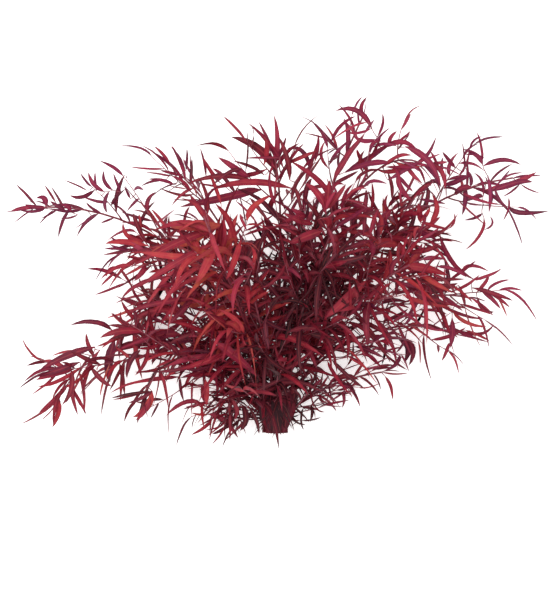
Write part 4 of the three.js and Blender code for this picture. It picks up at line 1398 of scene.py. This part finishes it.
def twig_lines(stem, offset):
    """A stem and its shoots as lines with their radii, and how young the wood is."""
    points = [stem.cut, *[stem.line.point(at) for at in STEM_SHARES]]
    radii = [STEM_RADIUS] + [mix(STEM_TIP_RADIUS, STEM_RADIUS, (1 - at) ** 2) for at in STEM_SHARES]
    young = [0, *[STEM_TIP_YOUTH * at for at in STEM_SHARES]]
    lines = [np.array(points) + offset]
    for shoot in stem.shoots:
        lines.append(np.array([shoot.line.point(at) for at in TWIG_SHARES]) + offset)
        thickness = FINE_TWIG if shoot.fine else SHOOT_RADIUS
        radii += [mix(thickness, TWIG_TIP_RADIUS, at) for at in TWIG_SHARES]
        young += [mix(*TWIG_YOUTH, at) for at in TWIG_SHARES]
    return lines, {"twig_radius": np.array(radii) * MM, "young": young}


def dye_property(name, default):
    """A colour that a user can change."""
    return bpy.props.StringProperty(name=name, description="Colour as an sRGB hex value", default=default)


class LeafLooks(bpy.types.PropertyGroup):
    """Sizes and colours of the leaves."""

    thickness: bpy.props.FloatProperty(
        name="Thickness", description="Half the blade's thickness as a share of its half width",
        default=THICKNESS, min=0.01, max=0.3, subtype="FACTOR",
    )
    fold: bpy.props.FloatProperty(
        name="Fold", description="Rise of the edges over the midrib as a share of the half width",
        default=FOLD, min=0, max=1, subtype="FACTOR",
    )
    waviness: bpy.props.FloatProperty(
        name="Waviness", description="How far a blade strays from its smooth curve",
        default=WAVINESS, min=0, max=0.01, unit="LENGTH",
    )
    wave_length: bpy.props.FloatProperty(
        name="Wave length", description="Size of the waves of the blades",
        default=WAVE_LENGTH, min=0.005, max=0.1, unit="LENGTH",
    )
    darkest: dye_property("Darkest dye", "#300512")
    dark: dye_property("Dark dye", "#5a0a20")
    middle: dye_property("Middle dye", "#8a142c")
    bright: dye_property("Bright dye", "#ac2c36")
    warmest: dye_property("Warmest dye", "#b4543c")
    plum: dye_property("Plum dye", "#862a58")
    rib: dye_property("Midrib", "#c05850")
    underside: dye_property("Underside", "#7c2438")


class TwigLooks(bpy.types.PropertyGroup):
    """Sizes and colours of the stems and side shoots."""

    sides: bpy.props.IntProperty(
        name="Sides", description="Sides of a twig's section", default=TWIG_SIDES, min=3, max=32,
    )
    knobbliness: bpy.props.FloatProperty(
        name="Knobbliness", description="How far the bark strays from a smooth surface",
        default=KNOBBLINESS, min=0, max=0.002, unit="LENGTH",
    )
    old_bark: dye_property("Old bark", "#600a1a")
    bark: dye_property("Bark", "#6e2230")
    young_bark: dye_property("Young bark", "#a5606c")


class StageLooks(bpy.types.PropertyGroup):
    """The table, the lights and the camera."""

    table_size: bpy.props.FloatProperty(
        name="Table size", description="Side of the square table top", default=TABLE_SIZE, unit="LENGTH",
    )
    camera_height: bpy.props.FloatProperty(
        name="Camera height", description="Camera over the table", default=CAMERA_AT[2] * MM, unit="LENGTH",
    )
    key_power: bpy.props.FloatProperty(
        name="Key light", description="Power of the large soft light", default=30, unit="POWER",
    )
    fill: bpy.props.FloatProperty(
        name="Fill light", description="Strength of the even light from all round", default=0.92,
    )
    table: dye_property("Table", "#f4f2f0")
    glow: bpy.props.FloatProperty(
        name="Glow", description="Light that the table top gives off by itself, against hard shadows",
        default=0.5, min=0, max=1,
    )


class EUCALYPTUS_OT_leaves(bpy.types.Operator):
    """Add the leaves of each stem, in place of the frame's solids"""

    bl_idname = "eucalyptus.leaves"
    bl_label = "Leaves"

    def execute(self, context):
        looks = context.scene.leaf_looks
        tree = blade_tree()
        values = {
            "Thickness": looks.thickness,
            "Fold": looks.fold,
            "Waviness": looks.waviness,
            "Wave length": looks.wave_length,
            "Material": leaf_material(looks),
        }
        draws = np.random.default_rng(LOOK_SEED)
        offset = table_offset()
        for stem in grow_bunch():
            lines, attributes = leaf_lines(stem, offset, draws)
            piece = lines_object(stem.name.replace("stem_", "leaves_"), lines, attributes)
            run_tree(piece, tree, values)
            finish_piece(piece, stem.name)
        return {"FINISHED"}


class EUCALYPTUS_OT_twigs(bpy.types.Operator):
    """Add each stem with its side shoots, in place of the frame's solids"""

    bl_idname = "eucalyptus.twigs"
    bl_label = "Twigs"

    def execute(self, context):
        looks = context.scene.twig_looks
        tree = twig_tree()
        values = {
            "Sides": looks.sides,
            "Knobbliness": looks.knobbliness,
            "Material": twig_material(looks),
        }
        offset = table_offset()
        for stem in grow_bunch():
            lines, attributes = twig_lines(stem, offset)
            piece = lines_object(stem.name.replace("stem_", "twigs_"), lines, attributes)
            run_tree(piece, tree, values)
            finish_piece(piece, stem.name)
        return {"FINISHED"}


def add_to_scene(scene, name, data, place=(0, 0, 0)):
    obj = bpy.data.objects.new(name, data)
    obj.location = place
    scene.collection.objects.link(obj)
    return obj


def add_table(scene, looks):
    half = looks.table_size / 2
    corners = [(-half, -half, 0), (half, -half, 0), (half, half, 0), (-half, half, 0)]
    mesh = bpy.data.meshes.new("table")
    mesh.from_pydata(corners, [], [(0, 1, 2, 3)])
    mesh.materials.append(table_material(looks))
    add_to_scene(scene, "table", mesh)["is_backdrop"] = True


def add_camera(scene, looks):
    """A camera that looks straight down and shows as many millimetres to a pixel as the photo."""
    lens = bpy.data.cameras.new("camera")
    lens.sensor_fit = "VERTICAL"
    lens.sensor_height = SENSOR_HEIGHT
    lens.clip_end = VIEW_DEPTH
    reach = PHOTO_SIZE[1] * PHOTO_SCALE * MM / (looks.camera_height - PHOTO_LEVEL * MM)
    lens.lens = SENSOR_HEIGHT / reach
    x, y = (table_offset()[:2] + CAMERA_AT[:2]) * MM
    scene.camera = add_to_scene(scene, "camera", lens, (x, y, looks.camera_height))


def add_key_light(scene, looks):
    """A large soft light, up and to the left."""
    light = bpy.data.lights.new("key_light", "AREA")
    light.shape = "RECTANGLE"
    light.size, light.size_y = KEY_SIZE
    light.energy = looks.key_power
    lamp = add_to_scene(scene, "key_light", light, KEY_AT)
    aim = Vector(KEY_TARGET) - lamp.location
    lamp.rotation_euler = aim.to_track_quat("-Z", "Y").to_euler()


def light_evenly(scene, looks):
    world = bpy.data.worlds.new("studio")
    world.use_nodes = True
    background = world.node_tree.nodes["Background"]
    background.inputs["Color"].default_value = (1, 1, 1, 1)
    background.inputs["Strength"].default_value = looks.fill
    scene.world = world


class EUCALYPTUS_OT_stage(bpy.types.Operator):
    """Add the table, the lights and the camera"""

    bl_idname = "eucalyptus.stage"
    bl_label = "Table, lights and camera"

    def execute(self, context):
        scene = context.scene
        looks = scene.stage_looks
        add_table(scene, looks)
        add_camera(scene, looks)
        add_key_light(scene, looks)
        light_evenly(scene, looks)
        scene.view_settings.view_transform = "Standard"
        return {"FINISHED"}


class EUCALYPTUS_PT_panel(bpy.types.Panel):
    """The operators and the values that they use"""

    bl_idname = "EUCALYPTUS_PT_panel"
    bl_label = "Dried eucalyptus"
    bl_space_type = "VIEW_3D"
    bl_region_type = "UI"
    bl_category = "Eucalyptus"

    def draw(self, context):
        layout = self.layout
        for operator, looks in OPERATORS.items():
            layout.operator(operator)
            group = getattr(context.scene, looks)
            for name in group.__annotations__:
                layout.prop(group, name)


OPERATORS = {
    "eucalyptus.leaves": "leaf_looks",
    "eucalyptus.twigs": "twig_looks",
    "eucalyptus.stage": "stage_looks",
}
GROUPS = {"leaf_looks": LeafLooks, "twig_looks": TwigLooks, "stage_looks": StageLooks}
CLASSES = (
    *GROUPS.values(), EUCALYPTUS_OT_leaves, EUCALYPTUS_OT_twigs, EUCALYPTUS_OT_stage, EUCALYPTUS_PT_panel,
)


def register():
    for one in CLASSES:
        bpy.utils.register_class(one)
    for name, group in GROUPS.items():
        setattr(bpy.types.Scene, name, bpy.props.PointerProperty(type=group))


def unregister():
    for name in GROUPS:
        delattr(bpy.types.Scene, name)
    for one in reversed(CLASSES):
        bpy.utils.unregister_class(one)


def main():
    register()
    bpy.ops.eucalyptus.leaves()
    bpy.ops.eucalyptus.twigs()
    bpy.ops.eucalyptus.stage()
    boxes = [[list(corner) for corner in box] for box in (CAD_BOX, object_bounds())]


if __name__ == "__main__":
    main()
